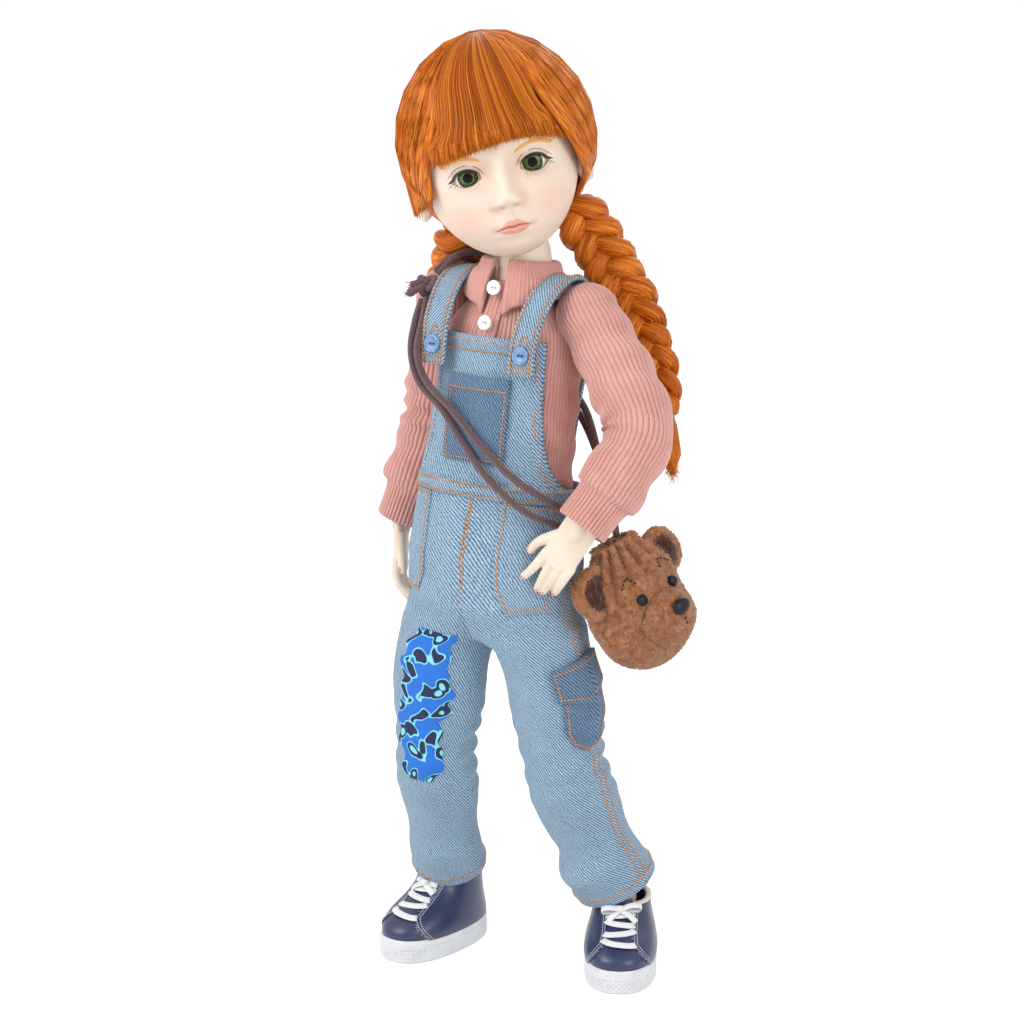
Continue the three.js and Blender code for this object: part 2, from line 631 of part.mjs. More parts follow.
// A shoe's outline at a height above the floor, drawn in to make room or thickness.
const shoeSizes = [[soleThickness, 13.8, 26.4, 0], [13.5, 13.8, 26, 0], [17, 13.2, 23.6, 2],
  [21, 11.8, 18, 6.4], [25, 10.9, 14.6, 9.4], [shoeTopHeight, 10.6, 13.4, 10.4]];
const shoeRings = (grow) =>
  shoeSizes.map(([height, width, length, back]) =>
    ring(height, width + grow, length + grow, { y: back - ankleForward, square: 2.3, taper: 0.06 }));
const legLines = {};
for (const [side, leg] of Object.entries(legs)) {
  const sign = sides[side];
  const hip = pointInDoll(hipAt(sign), torso);
  const knee = middleJoint(hip, leg.ankle, thighLength, shinLength, leg.kneeTo);
  const thighWay = knee.clone().sub(hip);
  const shinWay = leg.ankle.clone().sub(knee);
  const hinge = leg.kneeTo.clone().cross(thighWay);

  // Hip link: its pin turns in the torso, and the thigh spreads on its ball
  const link = new THREE.Group();
  link.name = `hip_${side}`;
  link.position.copy(hipAt(sign));
  torso.add(link);
  const linkPin = pin(hipPinRadius, V(0, 0, 0), V(-sign * (hipReach - 0.4), 0, 0));
  piece(link, `hip_link_${side}`, join(ball(hipBallRadius), linkPin), jointVinyl);

  const thighFrame = jointFrame(link, `leg_${side}`, hip, thighWay, hinge);
  const thigh = cut(
    limb([[3.5, thighRadius - 1.6], [8, thighRadius - 0.2], [40, thighRadius - 0.4],
      [thighLength - 7.5, kneeRadius]]),
    socket(hipBallRadius),
    socket(kneeRadius, V(0, 0, -thighLength)),
  );
  piece(thighFrame, `thigh_${side}`, thigh, vinyl);

  const shinFrame = jointFrame(thighFrame, `knee_${side}`, knee, shinWay, hinge);
  const shin = cut(
    join(ball(kneeRadius),
      limb([[2, kneeRadius - 1.4], [12, calfRadius - 0.8], [22, calfRadius], [50, ankleRadius + 0.6],
        [shinLength - 2, ankleRadius]])),
    socket(footBallRadius, V(0, 0, -shinLength)),
  );
  piece(shinFrame, `shin_${side}`, shin, vinyl);

  const turn = radians(leg.yaw);
  const footHinge = V(Math.cos(turn), Math.sin(turn), 0);
  const footFrame = jointFrame(shinFrame, `ankle_${side}`, leg.ankle, V(0, 0, -1), footHinge);
  const floor = -leg.ankle.z;
  const onFloor = (geometry) => geometry.translate(0, 0, floor);
  const insole = soleThickness + layerGap;
  const footSizes = [[insole, 12, 24, 0], [14, 11.4, 22.5, 0.6], [18, 8.8, 15, 5.5], [20.5, 5.6, 6.4, 10]];
  const footBody = skin(
    footSizes.map(([height, width, length, back]) => ring(height, width, length, { y: back - ankleForward })),
  );
  piece(footFrame, `foot_${side}`, join(ball(footBallRadius), onFloor(footBody)), vinyl);
  piece(footFrame, `shoe_upper_${side}`, onFloor(wall(shoeRings(0), shoeRings(-upperWall))), shoeLeather);
  const soleSizes = [[0, -0.8], [1, 0], [soleThickness - layerGap, -0.2]];
  const sole = skin(soleSizes.map(([height, grow]) => {
    const options = { square: 2.4, taper: 0.06, y: -ankleForward, sides: 28 };
    return ring(height, soleHalfWidth + grow, soleHalfLength + grow, options);
  }));
  piece(footFrame, `shoe_sole_${side}`, onFloor(sole), soleRubber);
  piece(footFrame, `shoe_laces_${side}`, onFloor(laces()), laceCotton);

  const insideKnee = hip.clone().lerp(leg.ankle, 0.5).sub(knee).multiplyScalar(0.2);
  const hem = leg.ankle.clone().lerp(knee, hemAboveAnkle / shinLength);
  const clothKnee = knee.clone().add(insideKnee).add(leg.clothHangs);
  const clothShin = knee.clone().lerp(leg.ankle, 0.5).add(leg.clothHangs);
  legLines[side] = {
    hinge,
    frames: [thighFrame, shinFrame],
    line: new THREE.CatmullRomCurve3(
      [hip, hip.clone().lerp(knee, 0.6), clothKnee, clothShin, hem], false, "centripetal"),
  };
}

// Laces: four flat crossings on the tongue, held by the strip that runs under them
function laces() {
  const reach = shoeSizes.map(([height, , length, back]) => V(0, back - ankleForward - length, height));
  const instep = new THREE.CatmullRomCurve3(reach.slice(2).map((p) => p.add(V(0, -1.2, 1.2))));
  const strip = skin(ringsAlong(instep, [0.05, 0.5, 1], across, () => [2.5, 0.5], 8));
  const bars = evenly(0.12, 0.92, 4).map((t) => {
    const at = instep.getPointAt(t);
    return pin(0.95, at.clone().add(V(-5.5, 0.5, 0)), at.clone().add(V(5.5, 0.5, 0)), 8);
  });
  return cut(join(strip, ...bars), skin(shoeRings(layerGap)));
}

// Shirt: a knit body over the torso with a cap at each shoulder, open at the neck, the armholes and the hem
const shirtOuter = layerGap + shirtWall + shirtEase;
const shoulderCap = (radius) => sidePair((sign) => ball(radius, shoulderAt(sign)));
const capRadius = Math.hypot(sleeveRadius, capEnd);
const shirtSolid = (grow) => join(torsoSolid(shirtOuter + grow, 30), ...shoulderCap(capRadius + grow));
const shirtHollow = join(
  torsoSolid(shirtOuter - shirtWall, 20, neckBaseHeight + 10),
  ...shoulderCap(capRadius - shirtWall),
);
const neckHole = pin(neckRadius + 1.4, V(0, 0, 90), V(0, 0, 140), 16);
const linkBore = pin(shoulderPinRadius + 2 * layerGap, shoulderAt(-1), shoulderAt(1));
const shirtBody = cut(shirtSolid(0), shirtHollow, neckHole, linkBore, ...sleeveBores);
piece(torso, "shirt_body", mainBody(shirtBody), knit);

// Collar: a ribbed band that stands round the neck and folds down, open in front
const collarSizes = [[-3, 15.8, 18], [3, 15, 16], [6.5, 14, 14]];
const collarOuter = collarSizes.map(([up, width, depth]) => ring(neckBaseHeight + up, width, depth));
const collarInner = collarSizes.map(([up]) => ring(neckBaseHeight + up, neckRadius + 2, neckRadius + 2));
const mouth = shirtButtonRadius + 2 * layerGap;
const collarMouth = box(V(-mouth, -farOut, 100), V(mouth, 0, 140));
const collar = cut(wall(collarOuter, collarInner), collarMouth, shirtSolid(layerGap));
piece(torso, "shirt_collar", mainBody(collar), knit);

// Overalls above the legs: outer ovals by height over the hip joints
const overallWidths = [[-14, 31], [0, 34.5], [12, 35.5], [waistHeight, 33.4], [waistbandTop, 33.4], [62, 31],
  [bibTop, 29.5]];
const overallDepths = [[-14, 20], [0, 24], [12, 25.6], [waistHeight, 23.6], [waistbandTop, 23.6],
  [bibTop, 22.6]];
const overallRing = (z, grow) =>
  ring(z, between(overallWidths, z) + grow, between(overallDepths, z) + grow, { square: 2.15, sides: 20 });
const overallSolid = (levels, grow) => skin(levels.map((z) => overallRing(z, grow)));
const seatLevels = [-14, -8, 0, 12, 24, waistHeight, waistbandTop];
const bibLevels = [waistbandTop + layerGap, 52, 62, 78, bibTop];

const trouserGirths = [[0, trouserThighRadius + 1.6], [0.3, trouserThighRadius], [0.55, trouserKneeRadius],
  [0.8, trouserKneeRadius], [1, trouserHemRadius]];
const trouserRadius = (t) => between(trouserGirths, t);
const legTube = (leg, stops, thickness, grow = 0) =>
  clothTube(leg.line, stops, leg.hinge, (t) => trouserRadius(t) + grow, thickness);
const legBore = (leg, stops, grow) =>
  skin(ringsAlong(leg.line, stops, leg.hinge, (t) => [trouserRadius(t) + grow, trouserRadius(t) + grow], 12));
const shareDown = (leg, length) => length / leg.line.getLength();
const inTorso = (geometry) => moved(geometry, doll, torso);
const bothLegs = Object.values(legLines);
const seatBores = (grow, end) =>
  bothLegs.map((leg) => inTorso(legBore(leg, [0.02, 0.1, shareDown(leg, end)], grow)));
const seat = cut(
  join(overallSolid(seatLevels, 0), ...seatBores(0, seatEnd)),
  join(overallSolid([...seatLevels, waistbandTop + 5], -denimWall), ...seatBores(-denimWall, seatEnd + 4)),
);
piece(torso, "overalls_seat", mainBody(seat), denim);

for (const [side, leg] of Object.entries(legLines)) {
  const top = shareDown(leg, seatEnd + layerGap);
  const split = shareDown(leg, trouserSplit);
  const [thighFrame, shinFrame] = leg.frames;
  const thighTube = legTube(leg, [top, 0.28, 0.38, split], denimWall);
  piece(thighFrame, `trouser_thigh_${side}`, moved(thighTube, doll, thighFrame), denim);
  const shinTube = legTube(leg, [split + shareDown(leg, layerGap), 0.58, 0.7, 0.85, 1], denimWall);
  piece(shinFrame, `trouser_shin_${side}`, moved(shinTube, doll, shinFrame), denim);
}

// Pieces sewn on a trouser leg: the part of a thin layer over the leg that a punch keeps.
function sewnOn(leg, stops, thickness, angle, halfWidth, low, high) {
  const layer = legTube(leg, stops, thickness, layerGap + thickness);
  const [thighFrame] = leg.frames;
  const punch = box(V(-halfWidth, -farOut, -high), V(halfWidth, 0, -low)).rotateZ(radians(angle));
  return mainBody(shared(moved(layer, doll, thighFrame), punch));
}
const pocketFacing = 78;
const pocketShape = sewnOn(legLines.left, [0.15, 0.26, 0.38, 0.5, 0.6], 1.6, pocketFacing, 11, 26, 62);
piece(legLines.left.frames[0], "cargo_pocket", pocketShape, darkDenim);
const patchFacing = 16;
const patchShape = sewnOn(legLines.right, [0.08, 0.2, 0.3, 0.4, 0.5, 0.62], 0.7, patchFacing, 11.5, 16, 78);
piece(legLines.right.frames[0], "leg_patch", patchShape, patchFelt);

// Bib with its pocket: a shaped panel that follows the chest
const bibSide = [[waistbandTop + layerGap, 31], [50, 27.5], [60, 25], [74, 23.6], [bibTop, bibHalfWidth]];
const bibOutline = new THREE.Shape([
  ...bibSide.map(([z, x]) => new THREE.Vector2(x, z)),
  ...[...bibSide].reverse().map(([z, x]) => new THREE.Vector2(-x, z)),
]);
const bibPunch = new THREE.ExtrudeGeometry(bibOutline, { depth: farOut, bevelEnabled: false });
bibPunch.rotateX(Math.PI / 2);
const panel = (levels, inside, thickness) =>
  cut(overallSolid(levels, inside + thickness), overallSolid([levels[0] - 5, ...levels, bibTop + 5], inside));
const bib = cut(shared(panel(bibLevels, -denimWall, denimWall), bibPunch), shirtSolid(layerGap));
piece(torso, "overalls_bib", mainBody(bib), denim);
const pocketPunch = box(V(-13.5, -farOut, 50), V(13.5, -5, 82));
piece(torso, "bib_pocket", mainBody(shared(panel(bibLevels, layerGap, 1), pocketPunch)), darkDenim);

// Shoulder straps: from under a button on the bib, over the shoulder, to the waistband behind
const strapThickness = 1.3;
function strap(sign) {
  const front = -between(overallDepths, bibTop) - layerGap * 2 - strapThickness / 2;
  const way = [V(strapX, front + 0.4, bibTop - 12), V(strapX, front, bibTop - 4),
    V(strapX + 0.6, front + 1.4, bibTop + 6), V(strapX + 1.7, -13, bibTop + 19),
    V(strapX + 1.8, 0, bibTop + 23.5), V(strapX + 0.6, 12, bibTop + 16.5), V(strapX - 3, 19.5, bibTop + 2),
    V(strapX - 8, 22.5, bibTop - 22), V(strapX - 12, 25.6, waistbandTop - 3)];
  const line = new THREE.CatmullRomCurve3(way.map((p) => p.setX(p.x * sign)), false, "centripetal");
  const stops = [0, 0.06, 0.13, 0.2, 0.27, 0.34, 0.41, 0.48, 0.58, 0.7, 0.85, 1];
  const rings = stops.map((t) => {
    const at = line.getPointAt(t);
    const out = line.getTangentAt(t).cross(across).normalize();
    const corner = (x, y) => {
      const aside = V((x * strapWidth) / 2, 0, 0);
      return at.clone().add(aside).addScaledVector(out, (y * strapThickness) / 2);
    };
    return [corner(-1, -1), corner(1, -1), corner(1, 1), corner(-1, 1)];
  });
  const waistRoom = overallSolid([20, ...seatLevels.slice(4), waistbandTop + layerGap], layerGap);
  return mainBody(cut(skin(rings), shirtSolid(layerGap), waistRoom));
}
for (const [side, sign] of Object.entries(sides)) piece(torso, `shoulder_strap_${side}`, strap(sign), denim);

// Buttons: discs that face forwards
const button = (radius, at) => pin(radius, at, at.clone().add(V(0, -buttonThickness, 0)), 16);
const strapFront = -between(overallDepths, bibTop) - layerGap * 3 - strapThickness - 0.3;
for (const [side, sign] of Object.entries(sides)) {
  const at = V(sign * strapX, strapFront, bibTop - 5);
  piece(torso, `strap_button_${side}`, button(strapButtonRadius, at), blueButton);
}
const shirtFront = (z) => -(between(torsoDepths, z) + shirtOuter);
const shirtButtons = { upper: shoulderHeight + 7, lower: shoulderHeight - 6 };
for (const [name, z] of Object.entries(shirtButtons)) {
  const at = V(0, shirtFront(z) - layerGap, z);
  piece(torso, `shirt_button_${name}`, cut(button(shirtButtonRadius, at), shirtSolid(layerGap)), shellButton);
}

// Bag: a gathered plush pouch with a snout and two round ears, hung at the left hip
const bag = new THREE.Group();
bag.name = "bag";
const bagUp = V(-0.324, -0.19, 0.927).normalize();
const bagOut = V(0.926, -0.281, 0.265);
const bagAcross = bagUp.clone().cross(bagOut).normalize();
const bagBack = bagUp.clone().cross(bagAcross).normalize();
const bagHang = bagHalfHeight + 1.2;
bag.position.copy(bagPlace.clone().addScaledVector(bagUp, bagHang));
bag.quaternion.setFromRotationMatrix(new THREE.Matrix4().makeBasis(bagAcross, bagBack, bagUp));
doll.add(bag);
doll.updateMatrixWorld(true);
torso.attach(bag);
const pouchSizes = [[-1, 0.06], [-0.94, 0.42], [-0.75, 0.74], [-0.4, 0.97], [0, 1], [0.4, 0.86], [0.75, 0.6],
  [0.92, 0.4], [1, 0.36]];
const pouchSolid = (grow) =>
  skin(pouchSizes.map(([up, share]) => {
    const height = (bagHalfHeight + grow) * up - bagHang;
    return ring(height, bagHalfWidth * share + 1.5 * grow, bagHalfDepth * share + 1.5 * grow, { sides: 18 });
  }));
const snout = ball(snoutRadius, V(0, -bagHalfDepth + 1, -bagHang - 7), V(1, 0.85, 0.9));
const cordReach = bagHalfWidth / 2;
const cordChannel = pin(cordEndRadius + runningGap, V(-cordReach, 0, 0), V(cordReach, 0, 0));
piece(bag, "bag_pouch", join(cut(pouchSolid(0), cordChannel), snout), plush);
const earThickness = new THREE.LineCurve3(V(0, -2.2, 0), V(0, 2.2, 0));
const earSize = (t) => Array(2).fill(earRadius * (t === 0 || t === 1 ? 0.75 : 1));
for (const [side, sign] of Object.entries(sides)) {
  const ear = skin(ringsAlong(earThickness, [0, 0.25, 0.75, 1], across, earSize, 12));
  ear.rotateY(radians(sign * 30)).translate(sign * (bagHalfWidth - 2), -1, 12 - bagHang);
  piece(bag, `bag_ear_${side}`, mainBody(cut(ear, pouchSolid(layerGap))), plush);
}

// Bag cord: a pair of strands down the front and a pair down the back, from a knot on the right
// shoulder to the gathered top of the bag at the left hip
const cordEnd = (sign) => pointInDoll(V(sign * 2.6, 0, 0), bag);
// Each point's height is its share of the way from the hips to the shoulders.
const onTrunk = (points) => points.map(({ x, y, z }) => V(x, y, hipHeight + z * shoulderHeight));
const frontStrands = [
  [V(-26, -6.5, 1.019), V(-24, -12.5, 0.954), V(-23, -17.8, 0.843), V(-18.5, -18.4, 0.75),
    V(-7, -19.4, 0.667), V(8, -20.4, 0.546), V(22, -20.6, 0.449), V(32, -17, 0.389),
    V(37.8, -8.5, 0.333), V(42, 3, 0.278)],
  [V(-28.4, -6.5, 1.013), V(-27.4, -12.5, 0.944), V(-26.2, -17, 0.843), V(-22, -17.8, 0.741),
    V(-11, -18.8, 0.657), V(-1, -20, 0.551), V(12.4, -21.8, 0.431), V(28, -20.4, 0.333),
    V(37.4, -11, 0.282), V(41.6, 0.5, 0.244)],
];
const backStrands = [
  [V(-25.6, 1, 1.098), V(-21.6, 9, 1.163), V(-17.4, 19, 1.154), V(-12, 29.6, 1.028), V(-3, 35.4, 0.87),
    V(8, 36, 0.722), V(20, 33.5, 0.611), V(29.5, 26, 0.509), V(36, 20.5, 0.417), V(41, 18, 0.324)],
  [V(-27.6, 2, 1.106), V(-24.4, 11, 1.154), V(-20.6, 21, 1.133), V(-15, 30.6, 1), V(-6, 35.8, 0.847),
    V(5, 36.2, 0.694), V(17.5, 34.6, 0.579), V(28, 28.6, 0.477), V(35.5, 23.4, 0.389), V(40.6, 19.8, 0.306)],
];
const strandSteps = 18;
function strandPair(routes, sign) {
  const pair = routes.map((route) => [...onTrunk(route), cordEnd(sign)]);
  const ends = [0, pair[0].length - 1].map((i) => {
    const middle = pair[0][i].clone().lerp(pair[1][i], 0.5);
    return ball(cordEndRadius, middle, V(1, 1, 1), 8);
  });
  return join(...pair.map((points) => cordAlong(points, cordRadius, strandSteps)), ...ends);
}
piece(torso, "bag_cord_front", moved(strandPair(frontStrands, -1), doll, torso), bagCord);
piece(torso, "bag_cord_back", moved(strandPair(backStrands, 1), doll, torso), bagCord);

// The knot that joins both pairs, with its two tails
const knotAt = V(-28, -3.2, 1.062);
const knotTails = [
  [V(-33, -8.8, 1.059), V(-37.6, -12.4, 1.041)],
  [V(-33.5, -5.4, 1.074), V(-38.5, -7.6, 1.067)],
];
const knot = join(
  ball(4, onTrunk([knotAt])[0], V(1, 1, 0.85), 10),
  ...knotTails.map((ends) => cordAlong(onTrunk([knotAt, ...ends]), cordRadius, 5)),
);
piece(torso, "bag_cord_knot", moved(knot, doll, torso), bagCord);

export default doll;
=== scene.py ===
import json
import math

import bmesh
import bpy
import numpy as np
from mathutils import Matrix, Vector


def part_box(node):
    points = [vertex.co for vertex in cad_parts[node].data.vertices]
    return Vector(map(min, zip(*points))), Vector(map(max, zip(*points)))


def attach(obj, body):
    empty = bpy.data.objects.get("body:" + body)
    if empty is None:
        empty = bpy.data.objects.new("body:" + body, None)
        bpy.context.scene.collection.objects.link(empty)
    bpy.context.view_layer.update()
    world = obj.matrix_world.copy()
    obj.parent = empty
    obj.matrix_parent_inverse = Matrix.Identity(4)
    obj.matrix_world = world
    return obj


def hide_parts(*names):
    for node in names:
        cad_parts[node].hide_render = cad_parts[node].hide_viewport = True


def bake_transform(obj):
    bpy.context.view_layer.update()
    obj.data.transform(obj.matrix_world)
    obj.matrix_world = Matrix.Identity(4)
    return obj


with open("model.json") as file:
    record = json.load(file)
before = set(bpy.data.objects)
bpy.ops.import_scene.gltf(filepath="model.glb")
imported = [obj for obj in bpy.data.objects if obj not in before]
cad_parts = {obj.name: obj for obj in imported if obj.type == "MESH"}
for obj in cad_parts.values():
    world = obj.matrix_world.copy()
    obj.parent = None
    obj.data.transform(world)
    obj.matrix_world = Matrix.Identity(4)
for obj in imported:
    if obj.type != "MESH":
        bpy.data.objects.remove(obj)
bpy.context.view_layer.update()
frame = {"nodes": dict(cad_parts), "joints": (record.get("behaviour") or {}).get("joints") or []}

# Camera, a little above the doll and well to its left, as the photograph was taken. Sizes in this
# file are millimetres; MM turns them to Blender's metres.
MM = 0.001
camera_at = (590.7, -928.9, 435)
camera_aim = (-8.4, -6.4, 185)
camera = bpy.data.objects.new("camera", bpy.data.cameras.new("camera"))
camera.location = Vector(camera_at) * MM
camera.rotation_euler = (Vector(camera_aim) - Vector(camera_at)).to_track_quat("-Z", "Y").to_euler()
camera.data.lens = 103.2
camera.data.sensor_width = 36
camera.data.shift_x = 0.0078
camera.data.shift_y = 0.002
bpy.context.scene.collection.objects.link(camera)
bpy.context.scene.camera = camera

# Bag cord: a pair of round cotton braids down the front of the doll and a pair down its back, from
# a knot on the right shoulder to the gathered top of the bag at the left hip. It hangs limp and is
# held only at its ends. The route's heights are shares of the way from the hips to the shoulders.
doll_x = -8.4
doll_y = -13.4
hip_height = 158
shoulder_rise = 108
cord_radius = 1.4
cord_end_apart = 2.6
bag_pivot = np.array([36.61, -0.78, 179.79])
bag_side = np.array([0.209, 0.941, 0.266])
bag_back = np.array([-0.923, 0.280, -0.265])
bag_up = np.array([-0.324, -0.190, 0.927])
cord_routes = {
    "front_inner": [(-26, -6.5, 1.019), (-24, -12.5, 0.954), (-23, -17.8, 0.843),
                    (-18.5, -18.4, 0.75), (-7, -19.4, 0.667), (8, -20.4, 0.546), (22, -20.6, 0.449),
                    (32, -17, 0.389), (37.8, -8.5, 0.333), (42, 3, 0.278)],
    "front_outer": [(-28.4, -6.5, 1.013), (-27.4, -12.5, 0.944), (-26.2, -17, 0.843),
                    (-22, -17.8, 0.741), (-11, -18.8, 0.657), (-1, -20, 0.551), (12.4, -21.8, 0.431),
                    (28, -20.4, 0.333), (37.4, -11, 0.282), (41.6, 0.5, 0.244)],
    "back_inner": [(-25.6, 1, 1.098), (-21.6, 9, 1.163), (-17.4, 19, 1.154), (-12, 29.6, 1.028),
                   (-3, 35.4, 0.87), (8, 36, 0.722), (20, 33.5, 0.611), (29.5, 26, 0.509),
                   (36, 20.5, 0.417), (41, 18, 0.324)],
    "back_outer": [(-27.6, 2, 1.106), (-24.4, 11, 1.154), (-20.6, 21, 1.133), (-15, 30.6, 1),
                   (-6, 35.8, 0.847), (5, 36.2, 0.694), (17.5, 34.6, 0.579), (28, 28.6, 0.477),
                   (35.5, 23.4, 0.389), (40.6, 19.8, 0.306)],
}


def linear(code):
    """A colour's sRGB hex digits as the linear values that a node's socket takes."""
    shares = [int(code[i:i + 2], 16) / 255 for i in (0, 2, 4)]
    return tuple(s / 12.92 if s <= 0.04045 else ((s + 0.055) / 1.055) ** 2.4 for s in shares) + (1,)


def add_node(tree, kind, settings=None, inputs=None):
    """A node with its settings, and with a value or another node's output on each named input."""
    node = tree.nodes.new(kind)
    for name, value in (settings or {}).items():
        setattr(node, name, value)
    for name, value in (inputs or {}).items():
        if isinstance(value, bpy.types.NodeSocket):
            tree.links.new(value, node.inputs[name])
        else:
            node.inputs[name].default_value = value
    return node


def new_material(name, roughness, **shader_values):
    """An empty material: its node tree and its shader, with the values that are the same all over."""
    material = bpy.data.materials.new(name)
    material.use_nodes = True
    shader = material.node_tree.nodes["Principled BSDF"]
    shader.inputs["Roughness"].default_value = roughness
    for key, value in shader_values.items():
        shader.inputs[key.replace("_", " ")].default_value = value
    return material, material.node_tree, shader


def mixed(tree, share, low, high):
    """A colour between two, each a hex code or a socket."""
    node = add_node(tree, "ShaderNodeMix", {"data_type": "RGBA"})
    for index, value in ((0, share), (6, low), (7, high)):
        if isinstance(value, bpy.types.NodeSocket):
            tree.links.new(value, node.inputs[index])
        else:
            node.inputs[index].default_value = linear(value) if isinstance(value, str) else value
    return node.outputs[2]


def math_of(tree, operation, *values):
    """A sum of values, each a number or a socket."""
    node = add_node(tree, "ShaderNodeMath", {"operation": operation})
    for index, value in enumerate(values):
        if isinstance(value, bpy.types.NodeSocket):
            tree.links.new(value, node.inputs[index])
        else:
            node.inputs[index].default_value = value
    return node.outputs[0]


def mapped(tree, value, low, high, to_low=0.0, to_high=1.0, smooth=False):
    """A value's place between low and high, kept inside them."""
    kind = "SMOOTHSTEP" if smooth else "LINEAR"
    return add_node(tree, "ShaderNodeMapRange", {"interpolation_type": kind},
                    {"Value": value, "From Min": low, "From Max": high, "To Min": to_low,
                     "To Max": to_high}).outputs["Result"]


def noise_of(tree, where, scale, detail=2.0, stretch=(1, 1, 1)):
    """Noise of that many blotches to a millimetre, over a place given in millimetres."""
    at = add_node(tree, "ShaderNodeMapping", {}, {"Vector": where, "Scale": stretch})
    return add_node(tree, "ShaderNodeTexNoise", {},
                    {"Vector": at.outputs[0], "Scale": scale, "Detail": detail}).outputs["Fac"]


def millimetres(tree):
    """The place on the whole doll, in millimetres."""
    place = add_node(tree, "ShaderNodeTexCoord").outputs["Object"]
    return add_node(tree, "ShaderNodeVectorMath", {"operation": "SCALE"},
                    {0: place, "Scale": 1 / MM}).outputs[0]


def on_cloth(tree):
    """The place on the piece's own cloth, in millimetres across and along it."""
    return add_node(tree, "ShaderNodeUVMap", {"uv_map": "cloth"}).outputs[0]


def split_of(tree, place):
    parts = add_node(tree, "ShaderNodeSeparateXYZ", {}, {0: place})
    return parts.outputs[0], parts.outputs[1], parts.outputs[2]


def coloured(tree, shader, colour):
    tree.links.new(colour, shader.inputs["Base Color"])


def clouded(name, roughness, low, high, scale, detail=2.0, between=(0, 1), **shader_values):
    """A material that drifts between two colours, in that many blotches to a millimetre."""
    material, tree, shader = new_material(name, roughness, **shader_values)
    cloud = mapped(tree, noise_of(tree, millimetres(tree), scale, detail), *between)
    coloured(tree, shader, mixed(tree, cloud, low, high))
    return material


def bumped(tree, shader, height, depth, distance=0.2):
    """A bump of that height, on a surface that far out at most in millimetres."""
    bump = add_node(tree, "ShaderNodeBump", {},
                    {"Strength": depth, "Distance": distance * MM, "Height": height})
    tree.links.new(bump.outputs[0], shader.inputs["Normal"])


def unit(vector):
    return np.asarray(vector, float) / np.linalg.norm(vector)


def circle(count):
    """Angles spaced evenly, once round."""
    return np.linspace(0, 2 * np.pi, count, endpoint=False)


def run_of(line):
    """How far along the line each of its points lies."""
    return np.concatenate([[0], np.cumsum(np.linalg.norm(np.diff(line, axis=0), axis=1))])


def read_along(at, marks, line):
    """Places along a line, each of whose points lies at its mark."""
    return np.stack([np.interp(at, marks, values) for values in np.transpose(line)], axis=-1)


def smooth_line(points, count):
    """Evenly spaced points on a smooth curve through the given ones."""
    points = np.asarray(points, float)
    ends = np.vstack([2 * points[0] - points[1], points, 2 * points[-1] - points[-2]])
    fine = []
    for a, b, c, d in zip(ends, ends[1:], ends[2:], ends[3:]):
        steps = [0.0]
        for p, q in ((a, b), (b, c), (c, d)):
            steps.append(steps[-1] + max(np.linalg.norm(q - p), 1e-9) ** 0.5)
        t0, t1, t2, t3 = steps
        t = np.linspace(t1, t2, 24, endpoint=False)[:, None]
        ab = a * (t1 - t) / (t1 - t0) + b * (t - t0) / (t1 - t0)
        bc = b * (t2 - t) / (t2 - t1) + c * (t - t1) / (t2 - t1)
        cd = c * (t3 - t) / (t3 - t2) + d * (t - t2) / (t3 - t2)
        abc = ab * (t2 - t) / (t2 - t0) + bc * (t - t0) / (t2 - t0)
        bcd = bc * (t3 - t) / (t3 - t1) + cd * (t - t1) / (t3 - t1)
        fine.append(abc * (t2 - t) / (t2 - t1) + bcd * (t - t1) / (t2 - t1))
    fine = np.vstack(fine + [points[-1:]])
    run = run_of(fine)
    return read_along(np.linspace(0, run[-1], count), run, fine)


def length_of(line):
    return float(np.linalg.norm(np.diff(line, axis=0), axis=1).sum())


def side_axes(line, first):
    """Two axes square to the line at each of its points, carried along it without twist."""
    ahead = np.gradient(line, axis=0)
    ahead /= np.linalg.norm(ahead, axis=1)[:, None]
    across = np.zeros_like(line)
    now = np.asarray(first, float)
    for i, way in enumerate(ahead):
        now = unit(now - way * (now @ way))
        across[i] = now
    return across, np.cross(ahead, across)


def grid_faces(rows, columns, around=True):
    """Faces over rows of points; around joins each row's last point to its first."""
    last = columns if around else columns - 1
    across = np.arange(last)
    after = (across + 1) % columns
    faces = [np.stack([r * columns + across, r * columns + after, (r + 1) * columns + after,
                       (r + 1) * columns + across], axis=1) for r in range(rows - 1)]
    return np.vstack(faces).tolist()


def linked(name, data):
    """A new object in the scene, of that mesh or lamp."""
    obj = bpy.data.objects.new(name, data)
    bpy.context.scene.collection.objects.link(obj)
    return obj


def shaded_smooth(mesh):
    mesh.polygons.foreach_set("use_smooth", [True] * len(mesh.polygons))


def new_piece(name, points, faces, material, cloth=None):
    """A mesh from points in millimetres. cloth gives each point's place on the cloth."""
    mesh = bpy.data.meshes.new(name)
    mesh.from_pydata((np.asarray(points) * MM).tolist(), [], faces)
    if cloth is not None:
        layer = mesh.uv_layers.new(name="cloth")
        corner = np.empty(len(mesh.loops), int)
        mesh.loops.foreach_get("vertex_index", corner)
        layer.data.foreach_set("uv", np.asarray(cloth, float)[corner].ravel())
    mesh.materials.append(material)
    shaded_smooth(mesh)
    return linked(name, mesh)


